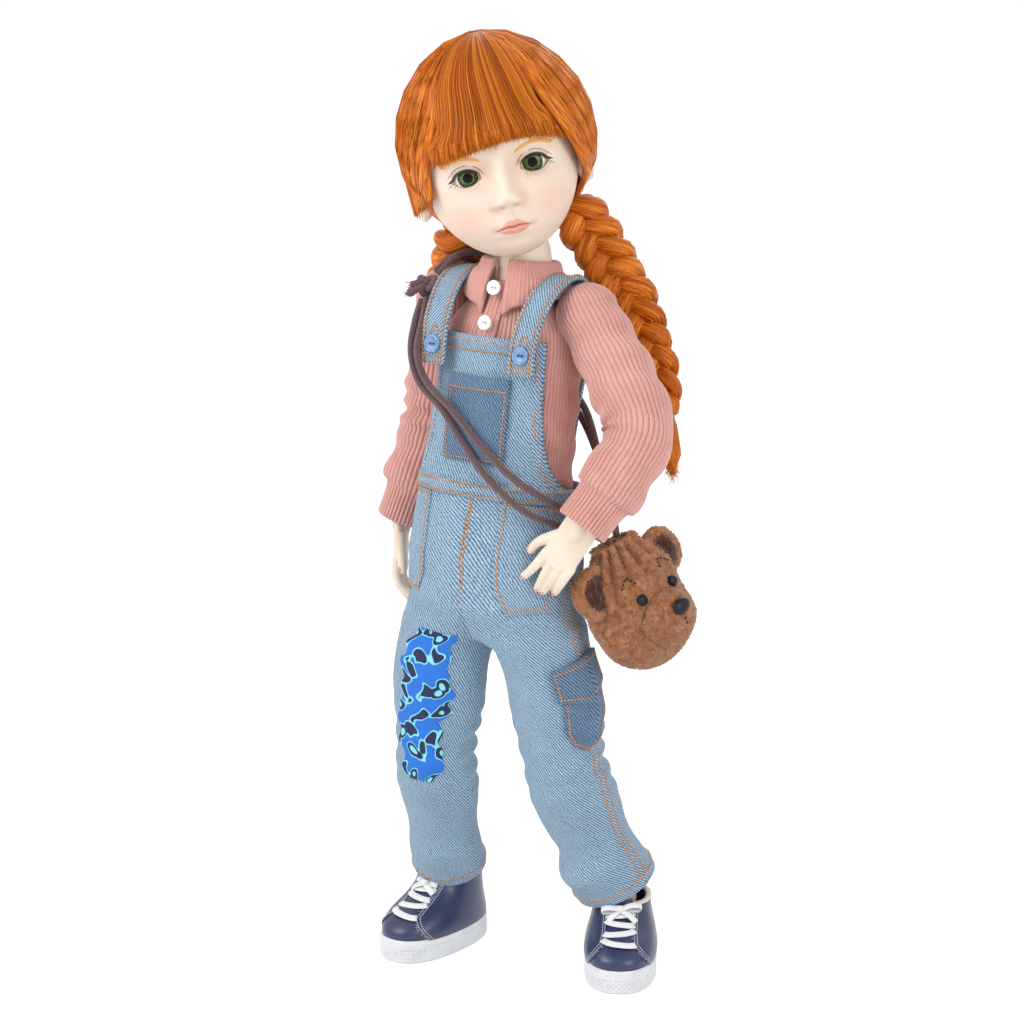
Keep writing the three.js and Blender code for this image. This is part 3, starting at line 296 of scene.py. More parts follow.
def tube_points(line, radii, sides=12, first=(0, 0, 1), depth=1.0):
    """A tube's points, rows along the line, and their place on its skin in millimetres."""
    line = np.asarray(line, float)
    across, over = side_axes(line, first)
    radii = np.broadcast_to(np.asarray(radii, float), (len(line),))
    angle = circle(sides)
    points = (line[:, None] + across[:, None] * (radii[:, None] * np.cos(angle))[..., None]
              + over[:, None] * (radii[:, None] * np.sin(angle) * depth)[..., None])
    skin = np.stack(np.broadcast_arrays(angle[None] * radii.max(), run_of(line)[:, None]), axis=2)
    return points.reshape(-1, 3), skin.reshape(-1, 2)


def closed_tube(line, radii, sides=12, first=(0, 0, 1), depth=1.0):
    """A tube with both ends closed: points, faces and places on its skin."""
    points, skin = tube_points(line, radii, sides, first, depth)
    rows = len(line)
    faces = [face[::-1] for face in grid_faces(rows, sides)]
    points = np.vstack([points, line[0], line[-1]])
    skin = np.vstack([skin, skin[0], skin[-1]])
    start, end = rows * sides, rows * sides + 1
    for i in range(sides):
        j = (i + 1) % sides
        faces.append([start, i, j])
        faces.append([end, (rows - 1) * sides + j, (rows - 1) * sides + i])
    return points, faces, skin


def facing_out(obj):
    """Turns a closed piece's faces outwards."""
    shape = bmesh.new()
    shape.from_mesh(obj.data)
    bmesh.ops.recalc_face_normals(shape, faces=shape.faces)
    shape.to_mesh(obj.data)
    shape.free()
    return obj


def joined(parts):
    """Points, faces and cloth places of several shapes as one."""
    points, faces, cloth, shift = [], [], [], 0
    for part_points, part_faces, part_cloth in parts:
        points.append(part_points)
        cloth.append(part_cloth)
        faces += [[index + shift for index in face] for face in part_faces]
        shift += len(part_points)
    return np.vstack(points), faces, np.vstack(cloth)


def one_piece(name, parts, material, placed=np.asarray):
    """A closed piece of several shapes, each put on the doll by placed."""
    points, faces, cloth = joined(parts)
    return facing_out(new_piece(name, placed(points), faces, material, cloth))


def given_to(obj, body, slot, *nodes):
    """Hands a piece to a body, in place of the given nodes."""
    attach(obj, body)
    if nodes:
        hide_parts(*nodes)
    return obj


def on_trunk(route):
    """Places of the route on the whole doll."""
    return np.array([(x + doll_x, y + doll_y, hip_height + share * shoulder_rise)
                     for x, y, share in route])


def bag_cotton():
    """Braided cotton cord, matt and mauve brown: fine chevrons of yarn, with painted shade between them."""
    material, tree, shader = new_material("braided_cotton_cord", 0.92, Sheen_Weight=0.25)
    around, along, _ = split_of(tree, on_cloth(tree))
    yarns_around = 8 / (2 * math.pi * cord_radius)
    yarns_along = 0.8
    in_pair = math_of(tree, "FRACT", math_of(tree, "MULTIPLY", around, yarns_around / 2))
    lean = math_of(tree, "ABSOLUTE", math_of(tree, "SUBTRACT", in_pair, 0.5))
    slant = math_of(tree, "ADD", math_of(tree, "MULTIPLY", along, yarns_along),
                    math_of(tree, "MULTIPLY", lean, 2))
    wave = math_of(tree, "SINE", math_of(tree, "MULTIPLY", slant, 2 * math.pi))
    yarn = mapped(tree, wave, -1, 1)
    fluff = noise_of(tree, millimetres(tree), 3.0)
    # Painted shade: the colour darkens between the yarns, where the bump sinks.
    colour = mixed(tree, yarn, "3E2A2F", "6B4D50")
    coloured(tree, shader, mixed(tree, mapped(tree, fluff, 0.35, 0.75), colour, "7C6063"))
    bumped(tree, shader, yarn, 0.8, 0.25)
    return material


cord_cotton = bag_cotton()
for cord_name, route in cord_routes.items():
    end_side = -1 if cord_name.startswith("front") else 1
    end_at = bag_pivot + end_side * cord_end_apart * bag_side
    line = smooth_line(np.vstack([on_trunk(route), end_at]), 120)
    strand = one_piece("cord_" + cord_name, [closed_tube(line, cord_radius)], cord_cotton)
    given_to(strand, "torso", "bag_cord", "bag_cord_front" if end_side < 0 else "bag_cord_back")

# Knot of the bag cord: the same cotton, tied in an overhand knot on the right shoulder, with two
# short tails whose cut ends fray a little.
knot_at = (-28, -3.2, 1.062)
knot_reach = 1.25
knot_steps, knot_sides = 70, 10
knot_turns = circle(knot_steps)
knot_loop = np.stack([np.sin(knot_turns) + 2 * np.sin(2 * knot_turns), -1.1 * np.sin(3 * knot_turns),
                      np.cos(knot_turns) - 2 * np.cos(2 * knot_turns)], axis=1) * knot_reach
knot_loop += on_trunk([knot_at])[0]
knot_points, knot_skin = tube_points(knot_loop, cord_radius, knot_sides)
knot_faces = [face[::-1] for face in grid_faces(knot_steps, knot_sides)]
last_ring = (knot_steps - 1) * knot_sides
for i in range(knot_sides):
    after = (i + 1) % knot_sides
    knot_faces.append([last_ring + i, last_ring + after, after, i])
knot_parts = [(knot_points, knot_faces, knot_skin)]
knot_tails = [[knot_at, (-30, -6.6, 1.052), (-32.4, -9.6, 1.036)],
              [knot_at, (-30.6, -4.6, 1.07), (-33.4, -6.4, 1.058)]]
fray = np.random.default_rng(5)
for route in knot_tails:
    line = smooth_line(on_trunk(route), 16)
    swell = np.interp(np.linspace(0, 1, 16), [0, 0.7, 0.85, 1], [1, 1, 1.25, 1.05]) * cord_radius
    knot_parts.append(closed_tube(line, swell, 12))
    away = unit(line[-1] - line[-2])
    for _ in range(26):
        lean = away + fray.normal(0, 0.45, 3)
        start = line[-1] - away * 0.8 + fray.normal(0, 0.55, 3)
        tip = start + unit(lean + fray.normal(0, 0.4, 3)) * 1.7
        thread = np.array([start, start + unit(lean) * 0.8, tip])
        knot_parts.append(closed_tube(thread, [0.13, 0.12, 0.05], 4))
given_to(one_piece("cord_knot", knot_parts, cord_cotton), "torso", "bag_cord", "bag_cord_knot")

# Body: moulded vinyl torso and neck, one hollow piece, with jointed vinyl limbs that the clothes
# cover. The vinyl is matt and ivory, a little translucent, and its joints are a shade warmer.
head_axes = np.array([[0.796, 0.555, 0.241], [-0.580, 0.813, 0.045], [-0.171, -0.176, 0.969]])
head_pivot = np.array([-5.10, 0.86, 283.15])
trunk_axes = np.array([[1.000, -0.003, -0.026], [0.0, 0.994, -0.113], [0.026, 0.113, 0.993]])
trunk_origin = np.array([doll_x, doll_y, hip_height])
trunk_rings = [(-9, 22, 16), (-3, 27, 18), (6, 28, 18.5), (16, 27, 18), (26, 25.6, 17.3), (36, 25, 17),
               (60, 24.6, 17.2), (82, 24.5, 17.5), (94, 24, 17), (104, 22, 15), (110, 17, 12.5),
               (114, 13, 11), (117, 11.4, 10.7), (124, 10.6, 10.6), (131, 10.6, 10.6), (136, 8, 8)]


def in_frame(origin, axes, points):
    """Points given along a frame's own axes, as places on the whole doll."""
    return np.asarray(origin) + np.asarray(points, float) @ np.asarray(axes)


def in_trunk(points):
    return in_frame(trunk_origin, trunk_axes, points)


def in_head(points):
    return in_frame(head_pivot, head_axes, points)


def moulded_vinyl(name, deep, pale):
    """Rotocast vinyl: soft and matt, with a faint mottle and a little light passing through."""
    material, tree, shader = new_material(name, 0.5, Specular_IOR_Level=0.35, Subsurface_Weight=0.12,
                                          Subsurface_Scale=2 * MM, Subsurface_Radius=(1, 0.55, 0.35))
    place = millimetres(tree)
    cloud = mapped(tree, noise_of(tree, place, 0.07), 0.35, 0.65)
    coloured(tree, shader, mixed(tree, cloud, deep, pale))
    bumped(tree, shader, noise_of(tree, place, 2.5, 3), 0.12)
    return material


def ovals(rings, sides):
    """Rows of points round an oval section: each ring is height, half width, half depth."""
    return np.array([[(width * np.cos(a), depth * np.sin(a), height) for a in circle(sides)]
                     for height, width, depth in rings]).reshape(-1, 3)


def smooth_rings(rings, count):
    """More rings, with widths that run smoothly through the given ones."""
    heights, widths, depths = smooth_line(rings, 400).T
    return [(h, np.interp(h, heights, widths), np.interp(h, heights, depths))
            for h in np.linspace(rings[0][0], rings[-1][0], count)]


def capped(rows, sides, points):
    """Faces over closed rows of points, with one more point added to close each end."""
    faces = grid_faces(rows, sides)
    points = np.vstack([points, points[:sides].mean(axis=0), points[-sides:].mean(axis=0)])
    base = rows * sides
    for i in range(sides):
        j = (i + 1) % sides
        faces += [[base, j, i], [base + 1, base - sides + i, base - sides + j]]
    return points, faces


limb_vinyl = moulded_vinyl("joint_vinyl", "DBC4AE", "E6D2BE")
skin_vinyl = moulded_vinyl("skin_vinyl", "E2D0BE", "EBDCCB")
body_sides = 48
trunk_fine = smooth_rings(trunk_rings, 60)
points, faces = capped(len(trunk_fine), body_sides, ovals(trunk_fine, body_sides))
trunk = facing_out(new_piece("torso_body", in_trunk(points), faces, skin_vinyl))
given_to(trunk, "torso", "vinyl_skin", "torso")
hidden_limbs = ("upper_arm", "forearm", "thigh", "shin", "foot", "shoulder_link", "hip_link")
for node_name, node in frame["nodes"].items():
    if node_name.startswith(hidden_limbs):
        for place in node.material_slots:
            place.material = limb_vinyl

# Neck: a smooth vinyl ball between the trunk and the head, on which the head turns and nods.
ball_radius = 11.4
ball_tilts = np.linspace(-1.45, 1.45, 32)
ball_rings = np.stack([np.sin(ball_tilts), np.cos(ball_tilts), np.cos(ball_tilts)], axis=1) * ball_radius
points, faces = capped(len(ball_rings), body_sides, ovals(ball_rings, body_sides))
neck_ball = facing_out(new_piece("neck_ball_vinyl", points + head_pivot, faces, skin_vinyl))
given_to(neck_ball, "neck", "joint_vinyl", "neck_ball")

# Head: rotocast vinyl with a small turned-up nose, full lips and holes for the eyes. The brows,
# eyeliner, lashes and lips are painted by hand and the cheeks are blushed with spray. Shade is painted
# into the sockets, the lid creases, under the eyes, round the nostrils, into the lips' creases and the
# line between them, under the lower lip and at the mouth corners, and a highlight on the lower lip.
head_centre = np.array([0, -2, 42])
head_radii = np.array([30.5, 33, 39])
eye_x = 12.2
eye_z = 39.2
lid_x = (7.1, 18.2)
mouth_x = 6.3


def bell(x, z, at_x, at_z, wide, high):
    """A soft swell round one place."""
    return np.exp(-0.5 * (((x - at_x) / wide) ** 2 + ((z - at_z) / high) ** 2))


def pair(x, z, at_x, at_z, wide, high):
    """The same swell on both sides of the face."""
    return bell(np.abs(x), z, at_x, at_z, wide, high)


def curve_through(places, marks):
    """A smooth reading through marks given as pairs of place and value."""
    line = smooth_line([(place, value, 0) for place, value in marks], 200)
    return np.interp(places, line[:, 0], line[:, 1])


def face_curve(*marks):
    """A line across the face: its height, by the distance to either side of the middle."""
    return lambda x: curve_through(np.abs(x), marks)


upper_lid = face_curve((7.1, 38.9), (8.2, 40.6), (10, 42.0), (12.2, 42.6), (14.5, 42.2), (16.6, 40.7),
                       (18.2, 38.6))
lower_lid = face_curve((7.1, 38.9), (8.4, 37.6), (10.2, 36.4), (12.4, 35.9), (14.8, 36.2), (16.8, 37.3),
                       (18.2, 38.6))
upper_lip = face_curve((0, 20.8), (1.5, 21.4), (3.2, 20.4), (5, 18.9), (6.3, 17.7))
mouth_line = face_curve((0, 18.3), (1.2, 18.6), (3, 18.5), (5, 18.1), (6.3, 17.6))
lower_lip = face_curve((0, 15.2), (2, 15.3), (4, 16.0), (5.4, 16.9), (6.3, 17.5))


def lip_shares(x, z):
    """How far up the upper lip and down the lower lip a place lies, from the line between them."""
    middle = mouth_line(x)
    up = (z - middle) / np.maximum(upper_lip(x) - middle, 0.05)
    down = (middle - z) / np.maximum(middle - lower_lip(x), 0.05)
    return up, down


def face_relief(x, z):
    """How far the face stands forward of a plain oval."""
    up, down = lip_shares(x, z)
    in_mouth = np.sqrt(np.clip(1 - (x / (mouth_x + 0.2)) ** 2, 0, 1))
    swell_up = np.where((up > 0) & (up < 1), np.sin(np.pi * np.clip(up, 0, 1) ** 0.75), 0)
    swell_down = np.where((down > 0) & (down < 1), np.sin(np.pi * np.clip(down, 0, 1) ** 0.7), 0)
    relief = 3.6 * bell(x, z, 0, 13, 15, 8.5) + 1.5 * bell(x, z, 0, 8, 6, 3.4)
    relief = relief - 0.8 * bell(x, z, 0, 13.4, 6, 1.3)
    relief = relief + 0.9 * swell_up * in_mouth + 1.5 * swell_down * in_mouth ** 1.5
    relief = relief + 0.8 * bell(x, z, 0, 18.6, 6, 3.4)
    relief = relief - 0.75 * np.exp(-((z - mouth_line(x)) / 0.32) ** 2) * (np.abs(x) < mouth_x + 0.3)
    relief = relief - 0.9 * pair(x, z, 7.3, 17.4, 1.3, 1.3)
    height = curve_through(z, [(23.6, 0), (25.6, 0.25), (26.9, 3.2), (28.4, 5.6), (30.6, 6.7), (33, 5.4),
                               (36, 3.5), (40, 1.9), (44, 0.8), (49, 0)])
    width = curve_through(z, [(24, 4.2), (28.5, 3.9), (32, 3.1), (36, 2.7), (41, 2.9), (49, 4)])
    relief = relief + height * np.exp(-0.5 * np.abs(x / width) ** 2.3)
    relief = relief + 2.3 * pair(x, z, 4.5, 28.6, 1.5, 1.8)
    relief = relief - 1.3 * pair(x, z, 2.5, 26.9, 0.8, 0.55)
    relief = relief - 0.3 * bell(x, z, 0, 23.6, 0.8, 1.8) + 0.2 * pair(x, z, 1.6, 23.4, 0.7, 1.8)
    relief = relief - 2.2 * pair(x, z, 11.4, 40.6, 6.4, 4.4) - 1.3 * pair(x, z, 5.6, 41, 2.6, 4)
    relief = relief + 0.7 * pair(x, z, 12.6, 44.4, 5, 1.5) + 0.9 * pair(x, z, 13, 49, 8, 3.5)
    relief = relief + 0.45 * pair(x, z, 12.8, 34.4, 5, 1.2)
    return relief + 1.5 * pair(x, z, 15, 23, 8, 8)


def face_point(x, z, lift=0.0):
    """A place on the front of the head, raised by lift."""
    x, z = np.asarray(x, float), np.asarray(z, float)
    inside = 1 - (x / head_radii[0]) ** 2 - ((z - head_centre[2]) / head_radii[2]) ** 2
    y = head_centre[1] - head_radii[1] * np.sqrt(np.clip(inside, 0, 1)) - face_relief(x, z) - lift
    return np.stack([x, y, z], axis=-1)


turn_fine = np.radians(np.arange(-64, 64.1, 0.58))
turn_rest = np.radians(np.linspace(64, 296, 32)[1:-1])
turns = np.concatenate([turn_fine, turn_rest])
tilts = np.radians(np.concatenate([np.linspace(-88, -79, 5), np.arange(-78, 32, 0.55),
                                   np.linspace(34, 88, 14)]))
head_z = head_centre[2] + head_radii[2] * np.sin(tilts)
rows, columns = len(tilts), len(turns)
x = head_radii[0] * np.cos(tilts)[:, None] * np.sin(turns)[None]
z = np.repeat(head_z[:, None], columns, axis=1)
front = np.cos(turns)[None] > 0.15
in_lids = front & (np.abs(x) > lid_x[0]) & (np.abs(x) < lid_x[1])
edge = np.zeros_like(z, bool)
for lid in (upper_lid, lower_lid):
    gap = np.where(in_lids, np.abs(z - lid(x)), 9)
    nearest = gap.argmin(axis=0)
    picked = np.arange(columns)
    close = gap[nearest, picked] < 0.4
    z[nearest[close], picked[close]] = lid(x)[nearest[close], picked[close]]
    edge[nearest[close], picked[close]] = True
opening = in_lids & (z < upper_lid(x) + 1e-6) & (z > lower_lid(x) - 1e-6) | edge
inside = np.clip(1 - (x / head_radii[0]) ** 2 - ((z - head_centre[2]) / head_radii[2]) ** 2, 0, 1)
forward = np.where(np.cos(turns)[None] > 0, 1, -1)
y = head_centre[1] - forward * head_radii[1] * np.sqrt(inside)
relief_share = np.clip((np.cos(turns)[None] - 0.1) / 0.35, 0, 1)
y = y - face_relief(x, z) * relief_share
head_points = np.stack([x, y, z], axis=2).reshape(-1, 3)
head_points, head_faces = capped(rows, columns, head_points)
hole = np.append(opening, [False, False])
head_faces = [face for face in head_faces if not all(hole[i] for i in face)]

# Painted colour at each point of the head, with painted shade and a painted highlight among it.
px, pz = head_points[:, 0], head_points[:, 2]
on_front = head_points[:, 1] < head_centre[1]
paint = np.tile(np.array(linear("ECDCCB")), (len(head_points), 1))


# Lays one colour over the head's paint; it serves the sprayed blush and lip paint and the painted shade and
# highlight.
def tinted_with_paint_and_shade(code, share):
    share = (np.clip(share, 0, 1) * on_front)[:, None]
    paint[:] = paint * (1 - share) + np.array(linear(code)) * share


tinted_with_paint_and_shade("F0C0AE", 0.75 * pair(px, pz, 16.5, 24, 6, 5.5))
tinted_with_paint_and_shade("F2D2C2", 0.5 * bell(px, pz, 0, 8, 6, 4))
# Painted shade: darker in the inner sockets, the lid creases, under the eyes, beside the nostril wings, in
# the nostrils, under the lower lip and at the mouth corners.
tinted_with_paint_and_shade("D9A98C", 0.6 * pair(px, pz, 7, 40.5, 2.6, 4.5))
tinted_with_paint_and_shade("DDB499", 0.5 * pair(px, pz, 13, 43.8, 6, 1.6))
tinted_with_paint_and_shade("E0BFA8", 0.45 * pair(px, pz, 13, 34.5, 6, 1.3))
tinted_with_paint_and_shade("DCAE92", 0.55 * pair(px, pz, 5.9, 27.6, 1.3, 2.2))
tinted_with_paint_and_shade("C98E72", 0.8 * pair(px, pz, 2.6, 26.6, 0.9, 0.6))
tinted_with_paint_and_shade("E2BEA6", 0.5 * bell(px, pz, 0, 13.4, 5, 1.2))
tinted_with_paint_and_shade("DFB7A0", 0.7 * pair(px, pz, 7.2, 17.5, 1.0, 1.0))
lip_up, lip_down = lip_shares(px, pz)
across_mouth = np.abs(px) < mouth_x + 0.2
soft_edge = 0.16
on_upper = across_mouth * np.clip((1 - lip_up) / soft_edge, 0, 1) * (lip_up > -0.2)
on_lower = across_mouth * np.clip((1 - lip_down) / soft_edge, 0, 1) * (lip_down > 0)
lips = np.where(pz > mouth_line(px), on_upper, on_lower)
tinted_with_paint_and_shade("E59C8C", 0.95 * lips)
# Painted highlight: a lighter patch in the middle of the lower lip.
tinted_with_paint_and_shade("EDB0A2", 0.6 * on_lower * bell(px, pz, 0, 16.6, 2.6, 0.8))
# Painted shade in the lips' creases: fine darker lines across them.
creases = 0.5 + 0.5 * np.sin(px * 2 * np.pi / 0.75 + 1.5 * np.sin(px * 1.7))
tinted_with_paint_and_shade("D67F72", 0.35 * lips * creases)
# Painted shade in the groove between the lips: a dark line along it.
tinted_with_paint_and_shade("C25A4E", 0.85 * across_mouth * np.exp(-((pz - mouth_line(px)) / 0.22) ** 2))


def painted_vinyl():
    """The head's vinyl, with its paint and painted shade carried by the piece's own colour attribute."""
    material, tree, shader = new_material("painted_head_vinyl", 0.48, Specular_IOR_Level=0.35,
                                          Subsurface_Weight=0.15, Subsurface_Scale=2 * MM,
                                          Subsurface_Radius=(1, 0.55, 0.35))
    paint_node = add_node(tree, "ShaderNodeVertexColor", {"layer_name": "paint"})
    place = millimetres(tree)
    cloud = mapped(tree, noise_of(tree, place, 0.12), 0.3, 0.7, 0.0, 0.25)
    coloured(tree, shader, mixed(tree, cloud, paint_node.outputs["Color"], "E6CDBB"))
    bumped(tree, shader, noise_of(tree, place, 2.2, 3), 0.1)
    return material


head = new_piece("head_vinyl", in_head(head_points), head_faces, painted_vinyl())
paint_layer = head.data.color_attributes.new("paint", "FLOAT_COLOR", "POINT")
paint_layer.data.foreach_set("color", paint.astype(np.float32).ravel())
socket_depth = 6.5
shape = bmesh.new()
shape.from_mesh(head.data)
rim = [e for e in shape.edges if e.is_boundary]
for depth in (1.0, socket_depth - 1.0):
    grown = bmesh.ops.extrude_edge_only(shape, edges=rim)["geom"]
    rim = [part for part in grown if isinstance(part, bmesh.types.BMEdge)]
    for vert in {vert for e in rim for vert in e.verts}:
        vert.co += Vector(head_axes[1] * depth * MM)
bmesh.ops.holes_fill(shape, edges=rim)
bmesh.ops.delete(shape, geom=[v for v in shape.verts if not v.link_faces], context="VERTS")
bmesh.ops.recalc_face_normals(shape, faces=shape.faces)
shape.to_mesh(head.data)
shape.free()
shaded_smooth(head.data)
given_to(head, "head", "vinyl_skin", "head_shell")

# Ears: a moulded shell low on each side of the head, half under the hair, with a rim round a hollow.
ear_half = 6.2
ear_section = [(0.0, 0.2), (0.35, 0.4), (0.62, 0.9), (0.8, 2.2), (0.93, 2.5), (1.0, 1.4), (0.86, -0.6),
               (0.3, -1.8)]
ear_turns = circle(40)
ear_tall = np.where(np.sin(ear_turns) > 0, 8.6, 7.4)
ear_parts = []
for sign in (-1, 1):
    ear_rows = []
    for share, out in ear_section:
        wide = share * ear_half * np.cos(ear_turns)
        ear_rows.append(np.stack([sign * (30.4 + out + 0.32 * wide), -0.5 + 0.95 * wide,
                                  30 + share * ear_tall * np.sin(ear_turns)], axis=1))
    points, faces = capped(len(ear_rows), len(ear_turns), np.vstack(ear_rows))
    ear_parts.append((points, faces, points[:, :2]))
points, faces, _ = joined(ear_parts)
ears = facing_out(new_piece("ears", in_head(points), faces, skin_vinyl))
given_to(ears, "head", "vinyl_skin")

# Paint strokes on the face: black liner with a wing, a thin crease line with fine ticks under it,
# fine lower lashes, and brows of short slanted strokes. Each is a film of paint on the vinyl.
brush_sides = 6
film_depth = 0.4
strokes = {"liner": [], "lash": [], "brow": []}
hand = np.random.default_rng(11)


def stroke(kind, xs, zs, widths):
    """One brush stroke on the face through the given places."""
    line = smooth_line(face_point(xs, zs), max(5, 3 * len(xs)))
    marks = np.linspace(0, 1, len(widths))
    radii = np.interp(np.linspace(0, 1, len(line)), marks, np.asarray(widths, float) / 2)
    strokes[kind].append(closed_tube(line, radii, brush_sides, first=(0.1, 0.0, 1), depth=film_depth))


for sign in (-1, 1):
    lid = np.linspace(lid_x[0] + 0.3, lid_x[1] - 0.5, 12)
    stroke("liner", sign * np.append(lid, 20.0), np.append(upper_lid(lid) + 0.18, 38.2),
           [0.3, 0.7, 0.85, 0.9, 1.0, 1.15, 1.2, 1.1, 0.12])
    low = np.linspace(13.5, 18.6, 6)
    stroke("lash", sign * low, lower_lid(np.minimum(low, 18.2)) - 0.05, [0.08, 0.22, 0.35])
    inner = np.linspace(lid_x[0] + 0.1, 8.6, 4)
    stroke("lash", sign * inner, lower_lid(inner), [0.35, 0.2, 0.08])
    crease_x = np.array([6.3, 7.2, 9, 12.4, 15.6, 18, 19.8])
    crease_z = np.array([40.1, 41.6, 43.4, 44.4, 43.6, 41.7, 39.9])
    stroke("lash", sign * crease_x, crease_z, [0.16, 0.26, 0.26, 0.26, 0.2, 0.12])
    for x_at in np.linspace(7.4, 18.6, 27):
        top = curve_through(x_at, np.stack([crease_x, crease_z], axis=1))
        bottom = min(upper_lid(x_at) + 0.5, top - 0.5) if x_at < 18 else top - 0.9
        lean = 0.05 * (x_at - 11) + hand.normal(0, 0.05)
        stroke("lash", sign * np.array([x_at, x_at + lean]), [top - 0.72 * (top - bottom), top + 0.12],
               [0.14, 0.1])
    for x_at in np.linspace(8.8, 19.0, 17):
        start = lower_lid(min(x_at, 18.2)) - 0.35 - 0.5 * max(0, x_at - 18.2)
        lean = 0.16 * (x_at - 11.5) + hand.normal(0, 0.08)
        drop = 1.25 + 0.35 * np.sin(x_at * 2.1) + hand.normal(0, 0.12)
        stroke("lash", sign * np.array([x_at, x_at + 0.4 * lean, x_at + lean]),
               [start, start - 0.55 * drop, start - drop], [0.24, 0.2, 0.08])
    for x_at in np.linspace(5.6, 7.2, 5):
        rise = (x_at - 5.6) * 1.3
        stroke("lash", sign * np.array([x_at + 0.7, x_at - 0.1]), [39.4 + rise, 39.9 + rise],
               [0.14, 0.06])
    for share in np.linspace(0, 1, 52):
        x_at = 6.6 + 13.6 * share
        z_at = curve_through(x_at, [(6.6, 45.4), (10, 46.7), (14, 47.2), (18, 46.0), (20.4, 44.4)])
        thick = np.interp(share, [0, 0.2, 0.7, 1], [0.9, 1.5, 1.1, 0.4])
        lean = np.interp(share, [0, 0.5, 1], [0.5, 1.2, 1.5]) + hand.normal(0, 0.12)
        stroke("brow", sign * np.array([x_at - 0.3 * lean, x_at + 0.7 * lean]),
               [z_at - 0.5 * thick, z_at + 0.45 * thick + hand.normal(0, 0.08)], [0.5, 0.6, 0.28])


# Brushed acrylic paint: satin, with brush streaks a shade lighter.
paints = {"liner": (0.45, "2A1C19", "43302A"), "lash": (0.5, "3A2924", "5B463C"),
          "brow": (0.55, "DF9A3A", "EFB763")}
for kind, (roughness, deep, pale) in paints.items():
    paint_film = clouded(kind + "_paint", roughness, deep, pale, 3.5, 2, (0.35, 0.65))
    points, faces, _ = joined(strokes[kind])
    marks = facing_out(new_piece("face_" + kind, in_head(points), faces, paint_film))
    given_to(marks, "head", "vinyl_skin")

# Eyes: domed acrylic with a clear front over a painted iris, green with yellow rays round a black
# pupil and a dark ring at its edge. They are set from inside against the lids.
eye_radius = 7.4
eye_front = 1.3
iris_radius = 3.75
pupil_radius = 1.9


def acrylic_eye():
    """Polished acrylic: the iris's fibres run outwards from the pupil, and the clear front is glossy."""
    material, tree, shader = new_material("acrylic_eye", 0.12, Specular_IOR_Level=0.16)
    across, up, _ = split_of(tree, on_cloth(tree))
    far = math_of(tree, "SQRT", math_of(tree, "ADD", math_of(tree, "MULTIPLY", across, across),
                                       math_of(tree, "MULTIPLY", up, up)))
    way = math_of(tree, "ARCTAN2", up, across)
    spread = add_node(tree, "ShaderNodeCombineXYZ", {},
                      {0: math_of(tree, "MULTIPLY", math_of(tree, "SINE", way), 5.0),
                       1: math_of(tree, "MULTIPLY", math_of(tree, "COSINE", way), 5.0),
                       2: math_of(tree, "MULTIPLY", far, 0.35)}).outputs[0]
    fibre = mapped(tree, noise_of(tree, spread, 2.2, 4), 0.36, 0.66)
    iris = mixed(tree, fibre, "1F3322", "647F4E")
    inner = mapped(tree, far, pupil_radius + 0.1, 2.6, 0.75, 0.0, True)
    iris = mixed(tree, math_of(tree, "MULTIPLY", inner, fibre), iris, "A39A58")
    edge_dark = mapped(tree, far, iris_radius - 0.75, iris_radius - 0.1, 0, 1, True)
    iris = mixed(tree, edge_dark, iris, "10140F")
    # Painted shadow of the upper lid over the top of the iris.
    iris = mixed(tree, mapped(tree, up, 0.9, 2.9, 0, 0.75, True), iris, "131A12")
    pupil = mapped(tree, far, pupil_radius - 0.12, pupil_radius + 0.12, 1, 0, True)
    iris = mixed(tree, pupil, iris, "050505")
    # Painted shade on the white: darker towards the edge of the ball and under the upper lid.
    white = mixed(tree, mapped(tree, far, 4, 6.5), "F1E9E0", "D9BFA3")
    white = mixed(tree, mapped(tree, up, 0.6, 2.6, 0, 0.55, True), white, "8C6F60")
    outside = mapped(tree, far, iris_radius - 0.08, iris_radius + 0.12, 0, 1, True)
    coloured(tree, shader, mixed(tree, outside, iris, white))
    return material


eye_acrylic = acrylic_eye()
eye_bulge = np.linspace(0, np.pi, 49)[1:-1]
eye_sides = 64
for side, sign in (("left", 1), ("right", -1)):
    surface = face_point(sign * eye_x, eye_z)
    ball = np.array([[(np.sin(b) * np.cos(a), -np.cos(b), np.sin(b) * np.sin(a)) for a in circle(eye_sides)]
                     for b in eye_bulge]).reshape(-1, 3) * eye_radius
    ball, faces = capped(len(eye_bulge), eye_sides, ball)
    ball[-2] = (0, -eye_radius, 0)
    ball[-1] = (0, eye_radius, 0)
    centre = np.array([sign * eye_x, surface[1] + eye_front + eye_radius, eye_z])
    eye = facing_out(new_piece("eye_acrylic_" + side, in_head(ball + centre), faces, eye_acrylic,
                               np.stack([sign * ball[:, 0], ball[:, 2]], axis=1)))
    given_to(eye, "head", "eye_acrylic", "eye_" + side)

# Wig: combed modacrylic fibre, copper orange, sewn to a cap and drawn from the crown into a blunt
# fringe in front and two braids behind the ears. It is laid in flat locks with loose fibres on them.
wig_centre = np.array([1.6, 1.5, 44])
wig_radii = np.array([37.4, 40.4, 42.3])
crown = np.array([3.0, 3.0, 86])
fringe_line_marks = [(-30, 45.5), (-20.5, 46.8), (-9.9, 48.9), (0.7, 50.2), (7.3, 50.4), (16.5, 48.8),
                     (26, 45)]
braid_roots = {"left": np.array([24.0, 8.0, 15.5]), "right": np.array([-22.0, 11.0, 15.5])}
comb = np.random.default_rng(23)


